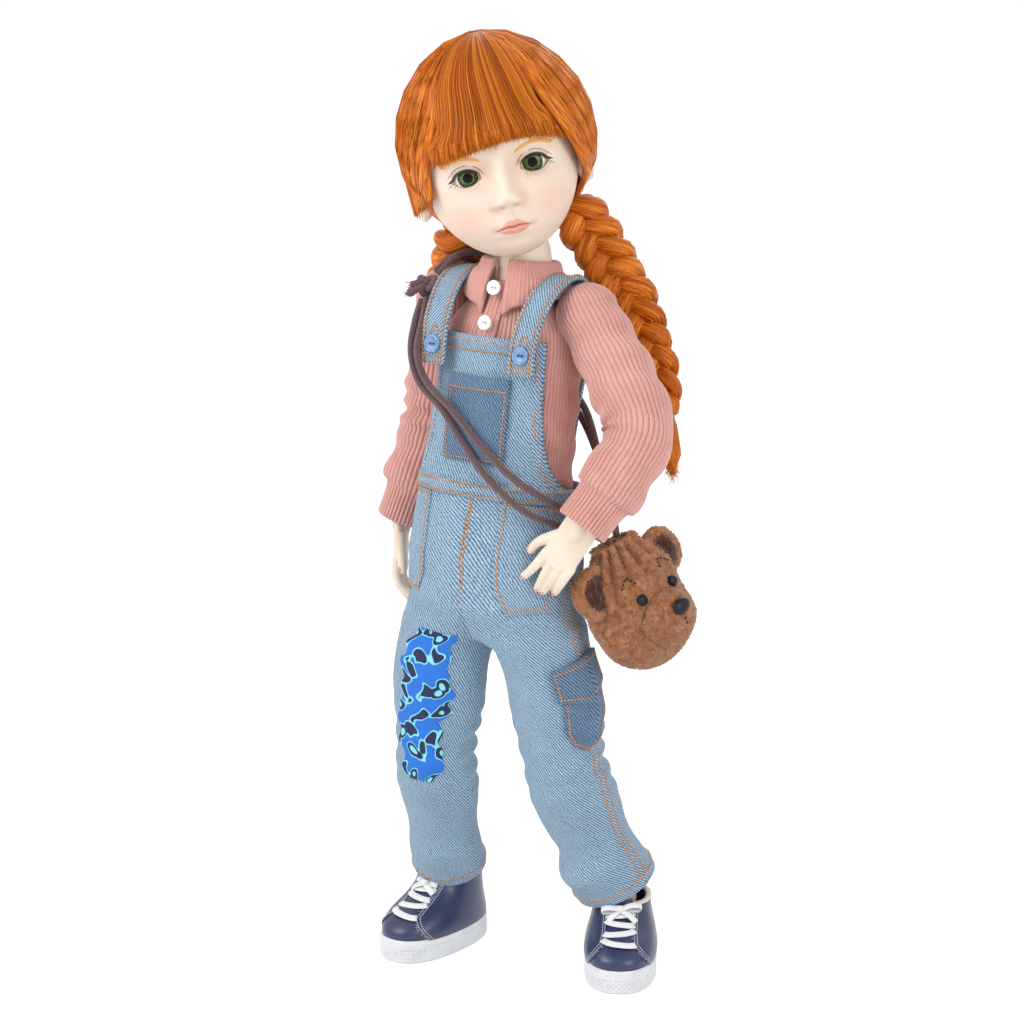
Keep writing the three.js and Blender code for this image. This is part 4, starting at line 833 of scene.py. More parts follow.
def hair_fibre(name, from_cloth):
    """Glossy drawn fibre: fine streaks of dark and bright copper that run the length of each lock."""
    material, tree, shader = new_material(name, 0.45, Specular_IOR_Level=0.22, Anisotropic=0.5)
    if from_cloth:
        place = on_cloth(tree)
        fine = noise_of(tree, place, 2.6, 3, (1, 0.05, 1))
        broad = noise_of(tree, place, 0.5, 2, (1, 0.12, 1))
        share = mapped(tree, math_of(tree, "ADD", math_of(tree, "MULTIPLY", fine, 0.65),
                                     math_of(tree, "MULTIPLY", broad, 0.35)), 0.36, 0.64)
        bumped(tree, shader, fine, 0.9, 0.3)
    else:
        share = add_node(tree, "ShaderNodeAttribute", {"attribute_name": "shade"}).outputs["Fac"]
    colour = mixed(tree, mapped(tree, share, 0, 0.55), "853804", "C9640C")
    coloured(tree, shader, mixed(tree, mapped(tree, share, 0.5, 1), colour, "EE9A34"))
    return material


lock_fibre = hair_fibre("combed_copper_fibre", True)
strand_fibre = hair_fibre("loose_copper_fibre", False)


def on_wig(point, lift=0.0):
    """The place on the wig's rounded outside straight out from its middle."""
    way = (np.asarray(point, float) - wig_centre) / wig_radii
    return wig_centre + way / np.linalg.norm(way) * (wig_radii + lift)


def combed(points, count, deep, free=0.3):
    """A smooth line kept on the wig at that depth, until its last free share leaves the wig."""
    line = smooth_line(points, count)
    onto = np.clip((1 - free - np.linspace(0, 1, count)) / 0.2, 0, 1)
    for i, share in enumerate(onto):
        line[i] += (on_wig(line[i], -deep) - line[i]) * share
    return line


def lock_of_hair(line, half_width, thickness, sides=10):
    """A flat lock along a line on the wig: points, faces and places along its fibre."""
    out = line[0] - wig_centre
    across = np.cross(line[1] - line[0], out)
    widths = np.interp(np.linspace(0, 1, len(line)), [0, 0.25, 0.85, 1], [0.45, 1, 1, 0.7]) * half_width
    points, faces, cloth = closed_tube(line, widths, sides, first=across, depth=thickness / half_width)
    return points, faces, cloth + comb.uniform(0, 60, 2)


def node_group(name, **inputs):
    """A Geometry Nodes tree with named inputs of the given kinds, and its input node."""
    tree = bpy.data.node_groups.new(name, "GeometryNodeTree")
    for key, kind in (*inputs.items(), ("Material", "Material")):
        tree.interface.new_socket(key, in_out="INPUT", socket_type="NodeSocket" + kind)
    tree.interface.new_socket("Made", in_out="OUTPUT", socket_type="NodeSocketGeometry")
    return tree, add_node(tree, "NodeGroupInput")


def ended(tree, given, made):
    """Ends a tree: all instances made real, with the given material on them."""
    real = add_node(tree, "GeometryNodeRealizeInstances", {}, {0: made.outputs[0]})
    done = add_node(tree, "GeometryNodeSetMaterial", {},
                    {"Geometry": real.outputs[0], "Material": given.outputs["Material"]})
    tree.links.new(done.outputs[0], add_node(tree, "NodeGroupOutput").inputs[0])
    return tree


def strand_tree():
    """Sweeps a thin thread along each line of a mesh, as thick as the line's own attribute says."""
    tree, given = node_group("threads_along_lines", Lines="Geometry", Sides="Int")
    curve = add_node(tree, "GeometryNodeMeshToCurve", {}, {"Mesh": given.outputs["Lines"]})
    thickness = add_node(tree, "GeometryNodeInputNamedAttribute", {"data_type": "FLOAT"},
                         {"Name": "thickness"})
    section = add_node(tree, "GeometryNodeCurvePrimitiveCircle", {},
                       {"Resolution": given.outputs["Sides"], "Radius": 1.0})
    swept = add_node(tree, "GeometryNodeCurveToMesh", {},
                     {"Curve": curve.outputs[0], "Profile Curve": section.outputs[0],
                      "Scale": thickness.outputs[0], "Fill Caps": True})
    return ended(tree, given, swept)


threads_along_lines = strand_tree()


def made_by(tree, source, values, name):
    """The plain mesh that a node tree makes of a source, with the named inputs set first."""
    modifier = source.modifiers.new(tree.name, "NODES")
    modifier.node_group = tree
    for item in tree.interface.items_tree:
        if item.item_type == "SOCKET" and item.in_out == "INPUT" and item.name in values:
            modifier[item.identifier] = values[item.name]
    bpy.context.view_layer.update()
    seen = source.evaluated_get(bpy.context.evaluated_depsgraph_get())
    mesh = bpy.data.meshes.new_from_object(seen)
    bpy.data.objects.remove(source)
    mesh.name = name
    shaded_smooth(mesh)
    return linked(name, mesh)


def bare_lines(name, lines):
    """An object of edges only, along lines given in millimetres on the whole doll."""
    mesh = bpy.data.meshes.new(name + "_lines")
    edges, start = [], 0
    for line in lines:
        edges += [(i, i + 1) for i in range(start, start + len(line) - 1)]
        start += len(line)
    mesh.from_pydata((np.vstack(lines) * MM).tolist(), edges, [])
    return linked(name + "_lines", mesh)


def threads(name, lines, thicknesses, shades, material):
    """Thin three-sided threads along many lines, each with its thickness and its shade."""
    source = bare_lines(name, lines)
    thick = [np.broadcast_to(thickness, len(line)) * MM for line, thickness in zip(lines, thicknesses)]
    shade = [np.full(len(line), tone) for line, tone in zip(lines, shades)]
    for key, values in (("thickness", thick), ("shade", shade)):
        attribute = source.data.attributes.new(key, "FLOAT", "POINT")
        attribute.data.foreach_set("value", np.concatenate(values))
    return made_by(threads_along_lines, source, {"Sides": 3, "Material": material}, name)


def fringe_route(x_end, deep=0.0):
    """From the crown down the forehead to the blunt edge of the fringe."""
    z_end = curve_through(x_end, fringe_line_marks)
    start = crown + np.array([x_end * 0.10, -4 + abs(x_end) * 0.05, 0])
    top = np.array([x_end * 0.62, -26, 78 - abs(x_end) * 0.12])
    brow = face_point(x_end * 0.98, z_end, 3.4 - deep)
    brow_up = on_wig((x_end * 0.9, -38, 62), -1.0 - deep)
    return combed([on_wig(start, -deep), on_wig(top, -deep), brow_up,
                   brow + np.array([0, -0.6, 5]), brow], 22, deep, 0.4)


def side_route(sign, share, deep=0.0):
    """From the crown over the temple or down the back of the head, into the braid's root."""
    def at(*sizes):
        """A place on that side, from its sizes at five places from the temple to the back."""
        return np.array([np.interp(share * 4, range(5), values) for values in sizes]) * (sign, 1, 1)

    high = at([24, 36, 33, 20, 2], [-27, -12, 14, 30, 38], [62, 62, 62, 62, 62])
    low = at([28.5, 35, 35, 24, 5], [-17, -4, 14, 28, 38], [38, 37, 36, 36, 36])
    last = at([31.5, 33, 31, 25, 14], [-5, 2, 12, 21, 31], [27, 27, 24, 23, 20])
    root = braid_roots["left" if sign > 0 else "right"]
    start = crown + np.array([sign * 4 * (1 - share), -3 + 8 * share, 0])
    route = [on_wig(start, -deep), on_wig(high, -deep), on_wig(low, -deep - 1.0 + share),
             on_wig(last, -deep - 2.5), root]
    return combed(route, 26, deep, 0.35)


def hanging_route(share, deep=0.0):
    """The blunt front lock that hangs on the right cheek, in front of the ear."""
    def between(first, last):
        return np.array(first) + (np.array(last) - first) * share

    end = between((-27.2, -21.5, 33.5), (-34.5, -6, 27))
    route = [on_wig(crown + (-3, -4, 0), -deep), on_wig(between((-23, -30, 66), (-34, -12, 66)), -deep),
             on_wig(between((-29, -26, 48), (-37, -8, 48)), -deep - 0.6), end + (0, 0, 7), end]
    return combed(route, 22, deep, 0.4)


wig_locks = {"front": [], "left": [], "right": []}
for i, x_end in enumerate(np.linspace(-27, 25.5, 27)):
    wig_locks["front"].append(lock_of_hair(fringe_route(x_end, 0.6 + 0.5 * (i % 2)), 2.3, 0.9))
for share in np.linspace(0, 1, 7):
    wig_locks["front"].append(lock_of_hair(hanging_route(share, 0.8), 2.3, 1.0))
for side, sign in (("left", 1), ("right", -1)):
    for i, share in enumerate(np.linspace(0, 1, 26)):
        wig_locks[side].append(lock_of_hair(side_route(sign, share, 0.7 + 0.6 * (i % 2)), 3.6, 1.2, 12))
for part, locks in wig_locks.items():
    wig_part = one_piece("wig_locks_" + part, locks, lock_fibre, in_head)
    given_to(wig_part, "head", "hair_fibre", "fringe" if part == "front" else "wig_cap")

# The wig's cap under the locks: the same fibre packed close, thick enough to hide the scalp.
cap_inset = 2.6
cap_wall = 3.2
hairline_half = 27
tilt, turn = np.meshgrid(np.radians(np.linspace(-64, 89, 77)), circle(120), indexing="ij")
outward = np.stack([np.cos(tilt) * np.sin(turn), -np.cos(tilt) * np.cos(turn), np.sin(tilt)], axis=-1)
cap_points = (wig_centre + (wig_radii - cap_inset) * outward).reshape(-1, 3)
x, y, z = cap_points.T
hairline = curve_through(np.clip(x, -hairline_half, hairline_half),
                         [(-27, 36), (-24, 52), (0, 56), (20, 53), (24, 47), (27, 38)])
behind_ear = y > -12 + 0.6 * np.clip(50 - z, 0, 30)
kept = (y > 3) | np.where(np.abs(x) < hairline_half, z > hairline, behind_ear)
kept &= z > np.where(y > 12, 7.5, 15)
cap_faces = [face for face in grid_faces(*tilt.shape) if all(kept[i] for i in face)]
cap_cloth = np.stack([turn.ravel() * 38, tilt.ravel() * 40], axis=1)
cap = new_piece("wig_base", in_head(cap_points), cap_faces, lock_fibre, cap_cloth)
shape = bmesh.new()
shape.from_mesh(cap.data)
bmesh.ops.delete(shape, geom=[v for v in shape.verts if not v.link_faces], context="VERTS")
shape.to_mesh(cap.data)
shape.free()
wall = cap.modifiers.new("wall", "SOLIDIFY")
wall.thickness = cap_wall * MM
wall.offset = -1
cap.data.update()
bpy.context.view_layer.objects.active = cap
with bpy.context.temp_override(object=cap, active_object=cap, selected_objects=[cap]):
    bpy.ops.object.modifier_apply(modifier="wall")
given_to(facing_out(cap), "head", "hair_fibre")

# Loose fibres over the locks, drawn about twice as thick as real ones so that they show.
fibre_radius = 0.14
fibre_taper = np.array([0.6, 1, 1, 1, 1, 1, 1, 1, 0.9, 0.6])
fringe_fibres, cheek_fibres, side_fibres = 1150, 260, 1500


def thinned(line):
    """The line with as few points as a loose fibre needs."""
    return read_along(np.linspace(0, 1, len(fibre_taper)), np.linspace(0, 1, len(line)), line)


fibre_sets = {"fringe": [], "sides": []}
for _ in range(fringe_fibres):
    x_end = comb.uniform(-28, 26.5)
    line = thinned(fringe_route(x_end, comb.uniform(-0.9, 0.7)))
    line[-1] += [comb.normal(0, 0.5), 0, comb.normal(0.2, 0.8)]
    fibre_sets["fringe"].append(line)
for _ in range(cheek_fibres):
    line = thinned(hanging_route(comb.uniform(0, 1), comb.uniform(-0.8, 0.8)))
    line[-1] += [comb.normal(0, 0.4), comb.normal(0, 0.4), comb.normal(0, 1.2)]
    fibre_sets["fringe"].append(line)
for _ in range(side_fibres):
    sign = comb.choice([-1, 1])
    line = thinned(side_route(sign, comb.uniform(0, 1), comb.uniform(-0.8, 0.6)))
    fibre_sets["sides"].append(line + comb.normal(0, 0.12, line.shape))
for key, lines in fibre_sets.items():
    tones = comb.uniform(0.1, 1, len(lines))
    fibres = threads("wig_fibres_" + key, [in_head(line) for line in lines],
                     [fibre_radius * fibre_taper] * len(lines), tones, strand_fibre)
    given_to(fibres, "head", "hair_fibre")

# Braids: each is three thick locks of the same fibre plaited tight, bound near its end with a thin
# hair elastic, with a loose brush of fibre below it. A braid hangs from the wig and down the back.
braid_half_width = 5.4
braid_half_depth = 3.4
lock_half_width = 3.9
lock_flatness = 0.78
plait_length = 27
tie_share = 0.8
braid_rows = 150
tie_at = int(tie_share * (braid_rows - 1))
lock_fibres, brush_fibres, stray_fibres = 130, 150, 45
lock_points, brush_points, stray_points = 14, 8, 8
elastic_radius = 2.7
braid_ways = {
    "left": [(8.1, 16.6, 303), (18.6, 21.6, 284), (32.6, 23.6, 262), (42.6, 23.6, 240),
             (48.6, 20.6, 220), (51.6, 18.6, 203)],
    "right": [(-27.5, 1.0, 295), (-36.4, 6.0, 284), (-44.0, 14.0, 271), (-49.5, 22.0, 255),
              (-53.4, 25.6, 236), (-55.4, 24.6, 217), (-56.4, 23.6, 201)],
}
braid_across = {"left": (0.85, 0.5, 0.1), "right": (0.8, 0.5, 0.3)}
for side, way in braid_ways.items():
    middle = smooth_line(way, braid_rows)
    across, over = side_axes(middle, braid_across[side])
    run = np.linspace(0, length_of(middle), braid_rows)
    size = np.interp(run / run[-1], [0, 0.06, 0.3, tie_share - 0.04, tie_share],
                     [0.95, 1.25, 1.25, 0.75, 0.42])
    lock_parts, lock_lines = [], []
    for k in range(3):
        turn = 2 * np.pi * run / plait_length + 2 * np.pi * k / 3
        line = (middle + across * (braid_half_width * size * np.sin(turn))[:, None]
                + over * (braid_half_depth * size * 0.8 * np.sin(2 * turn))[:, None])[:tie_at]
        lock_lines.append(line)
        radii = lock_half_width * size[:tie_at]
        points, faces, cloth = closed_tube(line, radii, 18, first=across[0], depth=lock_flatness)
        lock_parts.append((points, faces, cloth + comb.uniform(0, 60, 2)))
    brush = middle[tie_at - 3:]
    spread = np.interp(np.linspace(0, 1, len(brush)), [0, 0.25, 0.7, 1], [1.6, 3.0, 3.8, 0.8])
    lock_parts.append(closed_tube(brush, spread, 18))
    braid = one_piece("braid_locks_" + side, lock_parts, lock_fibre)
    lines, thick = [], []
    for line in lock_lines:
        lock_across, lock_over = side_axes(line, across[0])
        for _ in range(lock_fibres):
            angle = comb.uniform(0, 2 * np.pi)
            drift = comb.normal(0, 0.9)
            start = comb.integers(0, tie_at - 60)
            stop = min(tie_at, start + comb.integers(40, 75))
            cut = np.linspace(start, stop - 1, lock_points).astype(int)
            angles = angle + drift * np.linspace(0, 1, lock_points)
            radius = (lock_half_width * size[cut] + comb.uniform(-0.1, 0.25))[:, None]
            lines.append(line[cut] + radius * (lock_across[cut] * np.cos(angles)[:, None]
                                               + lock_flatness * lock_over[cut] * np.sin(angles)[:, None]))
            taper = np.interp(np.linspace(0, 1, lock_points), [0, 0.1, 0.9, 1], [0.3, 1, 1, 0.3])
            thick.append(fibre_radius * taper)
    for _ in range(brush_fibres):
        angle, out = comb.uniform(0, 2 * np.pi), comb.uniform(0.3, 1.15)
        picked = np.linspace(0, len(brush) - 1, brush_points).astype(int)
        outward = np.cos(angle) * across[0] + np.sin(angle) * over[0]
        line = brush[picked] + (spread[picked] * out)[:, None] * outward
        line[-1] = brush[-1] + comb.normal(0, 1.6, 3) + (brush[-1] - brush[-2]) * comb.uniform(-3, 2)
        lines.append(line)
        thick.append(fibre_radius * np.linspace(1, 0.5, brush_points))
    for _ in range(stray_fibres):
        at = comb.integers(4, 110)
        start = middle[at] + across[at] * comb.normal(0, 3.2) + over[at] * comb.normal(0, 2.6)
        swing = comb.normal(0, 1, 3)
        lines.append(smooth_line([start, start + unit(swing) * 2 + [0, 0, -3],
                                  start + unit(swing + comb.normal(0, 0.6, 3)) * 3.4 + [0, 0, -7]],
                                 stray_points))
        thick.append(np.full(stray_points, fibre_radius * 0.6))
    fibres = threads("braid_fibres_" + side, lines, thick, comb.uniform(0.1, 1, len(lines)), strand_fibre)
    rings = [closed_tube(middle[tie_at - 4:tie_at + 2], 2.6, 20, first=across[0])]
    for offset in (-4, -2, 0):
        ring = [middle[tie_at + offset]
                + elastic_radius * (np.cos(a) * across[tie_at] + np.sin(a) * over[tie_at])
                for a in np.linspace(0, 2 * np.pi, 25)]
        rings.append(closed_tube(np.array(ring), 0.55, 6))
    elastic = clouded("covered_elastic_" + side, 0.8, "8A7A70", "B9ADA4", 2.5, 2, (0.35, 0.65))
    tie = one_piece("hair_elastic_" + side, rings, elastic)
    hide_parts("braid_" + side)
    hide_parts("hair_tie_" + side)
    for piece, slot in ((braid, "hair_fibre"), (fibres, "hair_fibre"), (tie, "tie_elastic")):
        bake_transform(piece)

# Shirt: fine ribbed cotton knit in salmon pink, with a sewn placket, two shell buttons and sleeves
# set in at the shoulders. The ribs run up the body and down each sleeve, closer in the cuffs.
knit_pitch = 1.9
shirt_rings = [(28, 29.0, 20.5), (42, 28.4, 20.2), (60, 28.0, 20.4), (80, 28.0, 20.8), (92, 28.2, 20.4),
               (100, 27.0, 18.6), (106, 23.0, 16.2), (110.5, 18.4, 14.2), (114, 14.6, 12.8),
               (117.5, 12.4, 12.0)]
sleeve_ribs = 40


def ribbed_knit():
    """Cotton knit: matt and soft, with tiny V stitches down each rib and painted shade in the grooves
    between.
    """
    material, tree, shader = new_material("ribbed_cotton_knit", 0.95, Sheen_Weight=0.35,
                                          Sheen_Roughness=0.6)
    across, along, _ = split_of(tree, on_cloth(tree))
    in_rib = math_of(tree, "FRACT", math_of(tree, "MULTIPLY", across, 1 / knit_pitch))
    from_middle = math_of(tree, "ABSOLUTE", math_of(tree, "SUBTRACT", in_rib, 0.5))
    slope = math_of(tree, "ADD", math_of(tree, "MULTIPLY", along, 1.25),
                    math_of(tree, "MULTIPLY", from_middle, 1.7))
    wave = math_of(tree, "SINE", math_of(tree, "MULTIPLY", slope, 2 * math.pi))
    stitch = mapped(tree, wave, -1, 1)
    groove = mapped(tree, from_middle, 0.36, 0.5, 0, 1, True)
    place = millimetres(tree)
    blotch = mapped(tree, noise_of(tree, place, 0.12, 3), 0.35, 0.65)
    colour = mixed(tree, blotch, "D99A90", "E3ABA1")
    colour = mixed(tree, math_of(tree, "MULTIPLY", stitch, 0.4), colour, "C98479")
    # Painted shade: darker in the grooves between the ribs.
    colour = mixed(tree, math_of(tree, "MULTIPLY", groove, 0.55), colour, "B3685F")
    fluff = mapped(tree, noise_of(tree, place, 2.8, 3), 0.5, 0.8, 0, 0.35)
    coloured(tree, shader, mixed(tree, fluff, colour, "EFC3BA"))
    height = math_of(tree, "SUBTRACT", stitch, math_of(tree, "MULTIPLY", groove, 1.5))
    bumped(tree, shader, height, 0.6, 0.3)
    return material


knit = ribbed_knit()


def rib_height(phase, height=0.45):
    """How far a rib stands out, by its place across one rib."""
    off = np.abs((phase % 1) - 0.5)
    return height * (np.cos(np.clip(off - 0.18, 0, 0.32) / 0.32 * np.pi) * 0.5 - 0.5)


def rows_to_piece(name, rings, cloth, material, ends=(True, True)):
    """A closed or open-ended sleeve of cloth over rows of points, which run round it."""
    rows, columns = rings.shape[:2]
    points = np.concatenate([rings, rings[:, :1]], axis=1).reshape(-1, 3)
    faces = grid_faces(rows, columns + 1, around=False)
    skin = cloth.reshape(-1, 2)
    for closed, row in zip(ends, (0, rows - 1)):
        if closed:
            start = row * (columns + 1)
            faces += [[len(points), start + i, start + i + 1] for i in range(columns)]
            points = np.vstack([points, rings[row].mean(axis=0)])
            skin = np.vstack([skin, cloth[row, 0]])
    obj = new_piece(name, points, faces, material, skin)
    shape = bmesh.new()
    shape.from_mesh(obj.data)
    bmesh.ops.remove_doubles(shape, verts=shape.verts, dist=1e-7)
    bmesh.ops.recalc_face_normals(shape, faces=shape.faces)
    shape.to_mesh(obj.data)
    shape.free()
    return obj


def round_cloth(rings, girth, run):
    """Places on the cloth for rows of points: millimetres round it and along it."""
    across = np.linspace(0, girth, rings.shape[1] + 1)
    return np.stack(np.broadcast_arrays(across[None], np.asarray(run, float)[:, None]), axis=2)


body_ribs = 92
points_to_a_rib = 6
shirt_sizes = smooth_rings(shirt_rings, 74)
turned_in = [(117.8, 11.6, 11.2), (114, 11.2, 10.8)]
turns = circle(body_ribs * points_to_a_rib)
ribs = rib_height(turns * body_ribs / (2 * np.pi))
shirt_rows = []
for height, width, depth in shirt_sizes + turned_in:
    folds = 0.5 * np.sin(height * 0.42 + 3 * np.sin(turns * 2 + 1)) * np.clip((100 - height) / 30, 0, 1)
    grow = ribs + folds if len(shirt_rows) < len(shirt_sizes) else 0
    shirt_rows.append(np.stack([(width + grow) * np.cos(turns), (depth + grow) * np.sin(turns),
                                np.full(len(turns), height)], axis=1))
shirt_rows = np.array(shirt_rows)
shirt_run = np.append([size[0] for size in shirt_sizes], [119, 123])
shirt_body = rows_to_piece("shirt_body_knit", in_trunk(shirt_rows),
                           round_cloth(shirt_rows, body_ribs * knit_pitch, shirt_run), knit, (True, False))
given_to(shirt_body, "torso", "rib_knit", "shirt_body")


def shirt_front(x, z, lift):
    """A place on the front of the shirt, raised by lift."""
    heights, widths, depths = np.transpose(shirt_sizes)
    width = np.interp(z, heights, widths)
    depth = np.interp(z, heights, depths) + lift
    return np.stack([x, -depth * np.sqrt(np.clip(1 - (x / (width + lift)) ** 2, 0, 1)), z], axis=-1)


def sheet_over(name, columns_at, rows_at, place, thickness, material, placed=np.asarray):
    """A thin closed sheet over a grid: place(column, row, lift) gives its points, and placed puts
    them on the doll."""
    across, along = np.meshgrid(columns_at, rows_at)
    top = place(across, along, thickness)
    under = place(across, along, 0.0)
    rows, columns = across.shape
    faces = grid_faces(rows, columns, around=False)
    base = rows * columns
    faces += [[base + i for i in face[::-1]] for face in faces]
    at = np.arange(base).reshape(rows, columns)
    edge = np.concatenate([at[0], at[1:, -1], at[-1, -2::-1], at[-2:0:-1, 0]]).tolist()
    faces += [[b, a, base + a, base + b] for a, b in zip(edge, edge[1:] + edge[:1])]
    points = np.vstack([top.reshape(-1, 3), under.reshape(-1, 3)])
    cloth = np.tile(np.stack([across.ravel(), along.ravel()], axis=1), (2, 1))
    return facing_out(new_piece(name, placed(points), faces, material, cloth))


placket = sheet_over("shirt_placket", np.linspace(-3.6, 3.6, 43), np.linspace(84, 115, 32),
                     lambda x, z, lift: shirt_front(x, z, 0.3 + lift + rib_height(x / knit_pitch, 0.25)),
                     0.9, knit, in_trunk)
given_to(placket, "torso", "rib_knit")

# Sleeves: one tube of knit each, a rounded head at the shoulder and soft folds inside the elbow,
# gathered into a ribbed cuff that turns in at the wrist.
joints = {joint["name"]: np.array(joint["pos_m"]) / MM for joint in frame["joints"]}
sleeve_girths = [(0, 12.2), (0.14, 12.4), (0.3, 13.2), (0.55, 13.0), (0.8, 12.3), (0.845, 12.0),
                 (0.885, 10.2), (1, 10.3)]
cuff_start = 0.88
elbow_row = 60


def ring_round(at, across, over, angle, radius):
    """A ring of points round a place, of a radius that may change round it."""
    ways = across * np.cos(angle)[:, None] + over * np.sin(angle)[:, None]
    return at + ways * np.reshape(radius, (-1, 1))


for side in ("left", "right"):
    shoulder, elbow, wrist = (joints[name + side] for name in ("shoulder_raise_", "elbow_", "wrist_turn_"))
    bend = ((shoulder + wrist) / 2 - elbow) * 0.14
    way = [shoulder, shoulder + (elbow - shoulder) * 0.6, elbow + bend, (elbow + wrist) / 2,
           elbow + (wrist - elbow) * 0.97]
    line = smooth_line(way, 112)
    hinge = unit(np.cross(wrist - elbow, elbow - shoulder))
    across, over = side_axes(line, hinge)
    angle = circle(sleeve_ribs * 7)
    marks = np.linspace(0, 1, len(line))
    radii = curve_through(marks, sleeve_girths)
    inside_turn = np.sign(over[elbow_row] @ bend) * np.pi / 2
    near_inside = 0.5 + 0.5 * np.cos(angle - inside_turn)
    ribs = rib_height(angle * sleeve_ribs / (2 * np.pi), 0.5)
    rings = []
    for tilt in np.radians(np.arange(8, 90, 7)):
        top = line[0] - unit(line[1] - line[0]) * radii[0] * np.cos(tilt)
        rings.append(ring_round(top, across[0], over[0], angle, (radii[0] + ribs) * np.sin(tilt)))
    for i, t in enumerate(marks):
        fold = 1.1 * np.sin(2 * np.pi * (t * 11 + 0.5 * np.sin(angle + 1))) * near_inside ** 1.5
        fold = fold * np.exp(-((t - 0.5) / 0.13) ** 2)
        drape = 0.55 * np.sin(2 * np.pi * t * 5.5 + 2.2 * np.sin(angle + 2.1 * t))
        drape = drape * np.clip((0.86 - t) / 0.1, 0, 1)
        slack = 0.9 * np.exp(-((t - 0.82) / 0.05) ** 2) * (1 + 0.5 * np.sin(angle * 3 + 1))
        depth = 1.25 if t > cuff_start else 1.0
        radius = radii[i] + fold + drape + slack + ribs * depth
        rings.append(ring_round(line[i], across[i], over[i], angle, radius))
    for shrink, step in ((0.6, 0.5), (1.5, 0.2), (1.8, -2), (2.2, -7)):
        at = line[-1] + unit(line[-1] - line[-2]) * step
        rings.append(ring_round(at, across[-1], over[-1], angle, radii[-1] - shrink + ribs * 0.4))
    rings = np.array(rings)
    cloth = round_cloth(rings, sleeve_ribs * knit_pitch, run_of(rings[:, 0]))
    sleeve = rows_to_piece("sleeve_" + side, rings, cloth, knit, (True, False))
    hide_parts("sleeve_upper_" + side, "sleeve_lower_" + side)
    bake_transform(sleeve)

# Collar: a band of the same knit, folded over all round the neck and falling to two points in
# front. Its ribs are finer and run from the fold to the edge.
collar_pitch = 1.35
collar_radius = 17
fold_radius, fold_height = 16.2, 122.4
collar_open = np.radians(13)
collar_turns = np.linspace(collar_open, 2 * np.pi - collar_open, 430)
from_front = np.degrees(np.minimum(collar_turns, 2 * np.pi - collar_turns))
edge_marks = [13, 30, 60, 90, 130, 180]
edge_radius = np.interp(from_front, edge_marks, [17.5, 20.5, 21.5, 22.5, 20.0, 19.0])
edge_height = np.interp(from_front, edge_marks, [108.5, 109.5, 112.5, 114.0, 113.0, 112.5])
edge_radius += 2.2 * np.exp(-((from_front - 13) / 7) ** 2)
edge_height -= 2.8 * np.exp(-((from_front - 13) / 9) ** 2)
collar_rings = []
for turn, radius, height in zip(collar_turns, edge_radius, edge_height):
    rib = 0.22 * np.cos(turn * collar_radius * 2 * np.pi / collar_pitch)
    section = [(12.2, 114.5), (12.0, 118), (12.3, 122.8), (13.0, 125.4), (14.1, 126.2 + rib),
               (15.4, 125.2 + rib), (fold_radius + rib, fold_height)]
    for share in (0.2, 0.4, 0.6, 0.8, 0.95):
        bulge = 0.9 * np.sin(np.pi * share)
        section.append((fold_radius + (radius - fold_radius) * share + bulge + rib,
                        fold_height + (height - fold_height) * share + bulge + 0.5 * rib))
    section += [(radius + 0.15, height + 0.1), (radius - 0.4, height - 0.6), (radius - 1.0, height - 0.1)]
    for share in (0.75, 0.5, 0.25):
        section.append((15.2 + (radius - 16.5) * share,
                        120.0 + (height - 120.0) * share + 0.4 * np.sin(np.pi * share)))
    section += [(14.7, 122.4), (13.8, 123.6), (13.4, 120.0), (13.3, 114.5)]
    collar_rings.append([(np.sin(turn) * r, -np.cos(turn) * r * 0.95, h) for r, h in section])
collar_rings = np.array(collar_rings)
section_run = np.linspace(0, 40, collar_rings.shape[1] + 1)
ribs_run = collar_turns * collar_radius * knit_pitch / collar_pitch
collar_cloth = np.stack(np.broadcast_arrays(ribs_run[:, None], section_run[None]), axis=2)
collar = rows_to_piece("shirt_collar_knit", in_trunk(collar_rings), collar_cloth, knit)
given_to(collar, "torso", "rib_knit", "shirt_collar")

# Buttons: two of polished shell on the shirt, and two of blue resin on the straps. Each is turned
# with a raised rim round a shallow dish and sewn on through two holes.
button_profile = [(0.45, 0.52), (0.62, 0.6), (0.72, 0.9), (0.84, 1.0), (0.95, 0.85), (1.0, 0.5),
                  (0.97, 0.15), (0.88, 0.0)]


def button(name, node, out, tilt, radius, thickness, material, thread_colours, slot):
    """A two-holed button in place of a node, that far out from its middle and tilted a little up."""
    low_corner, high_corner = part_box(node)
    centre = (np.array(low_corner) + np.array(high_corner)) / 2 / MM - trunk_axes[1] * out
    outward = unit(tilt * trunk_axes[2] - trunk_axes[1])
    side = unit(np.cross(trunk_axes[2], outward))
    axes = np.array([side, np.cross(outward, side), outward])

    def placed(points):
        return in_frame(centre, axes, points)

    rings = [(h * thickness, r * radius, r * radius) for r, h in button_profile]
    points, faces = capped(len(rings), body_sides, ovals(rings, body_sides))
    disc = one_piece(name, [(points, faces, points[:, :2])], material, placed)
    sewing = []
    for at in (-radius * 0.25, radius * 0.25):
        hole = np.array([(at, 0, thickness * 0.3), (at, 0, thickness * 0.56)])
        sewing.append(closed_tube(hole, radius * 0.15, first=(1, 0, 0)))
    bar = np.array([(-radius * 0.27, 0, thickness * 0.56), (0, 0, thickness * 0.64),
                    (radius * 0.27, 0, thickness * 0.56)])
    sewing.append(closed_tube(bar, radius * 0.08, 8, first=(0, 1, 0)))
    cotton = clouded(name + "_thread", 0.9, *thread_colours, 4, 2, (0.3, 0.7))
    given_to(disc, "torso", slot, node)
    given_to(one_piece(name + "_thread", sewing, cotton, placed), "torso", slot)


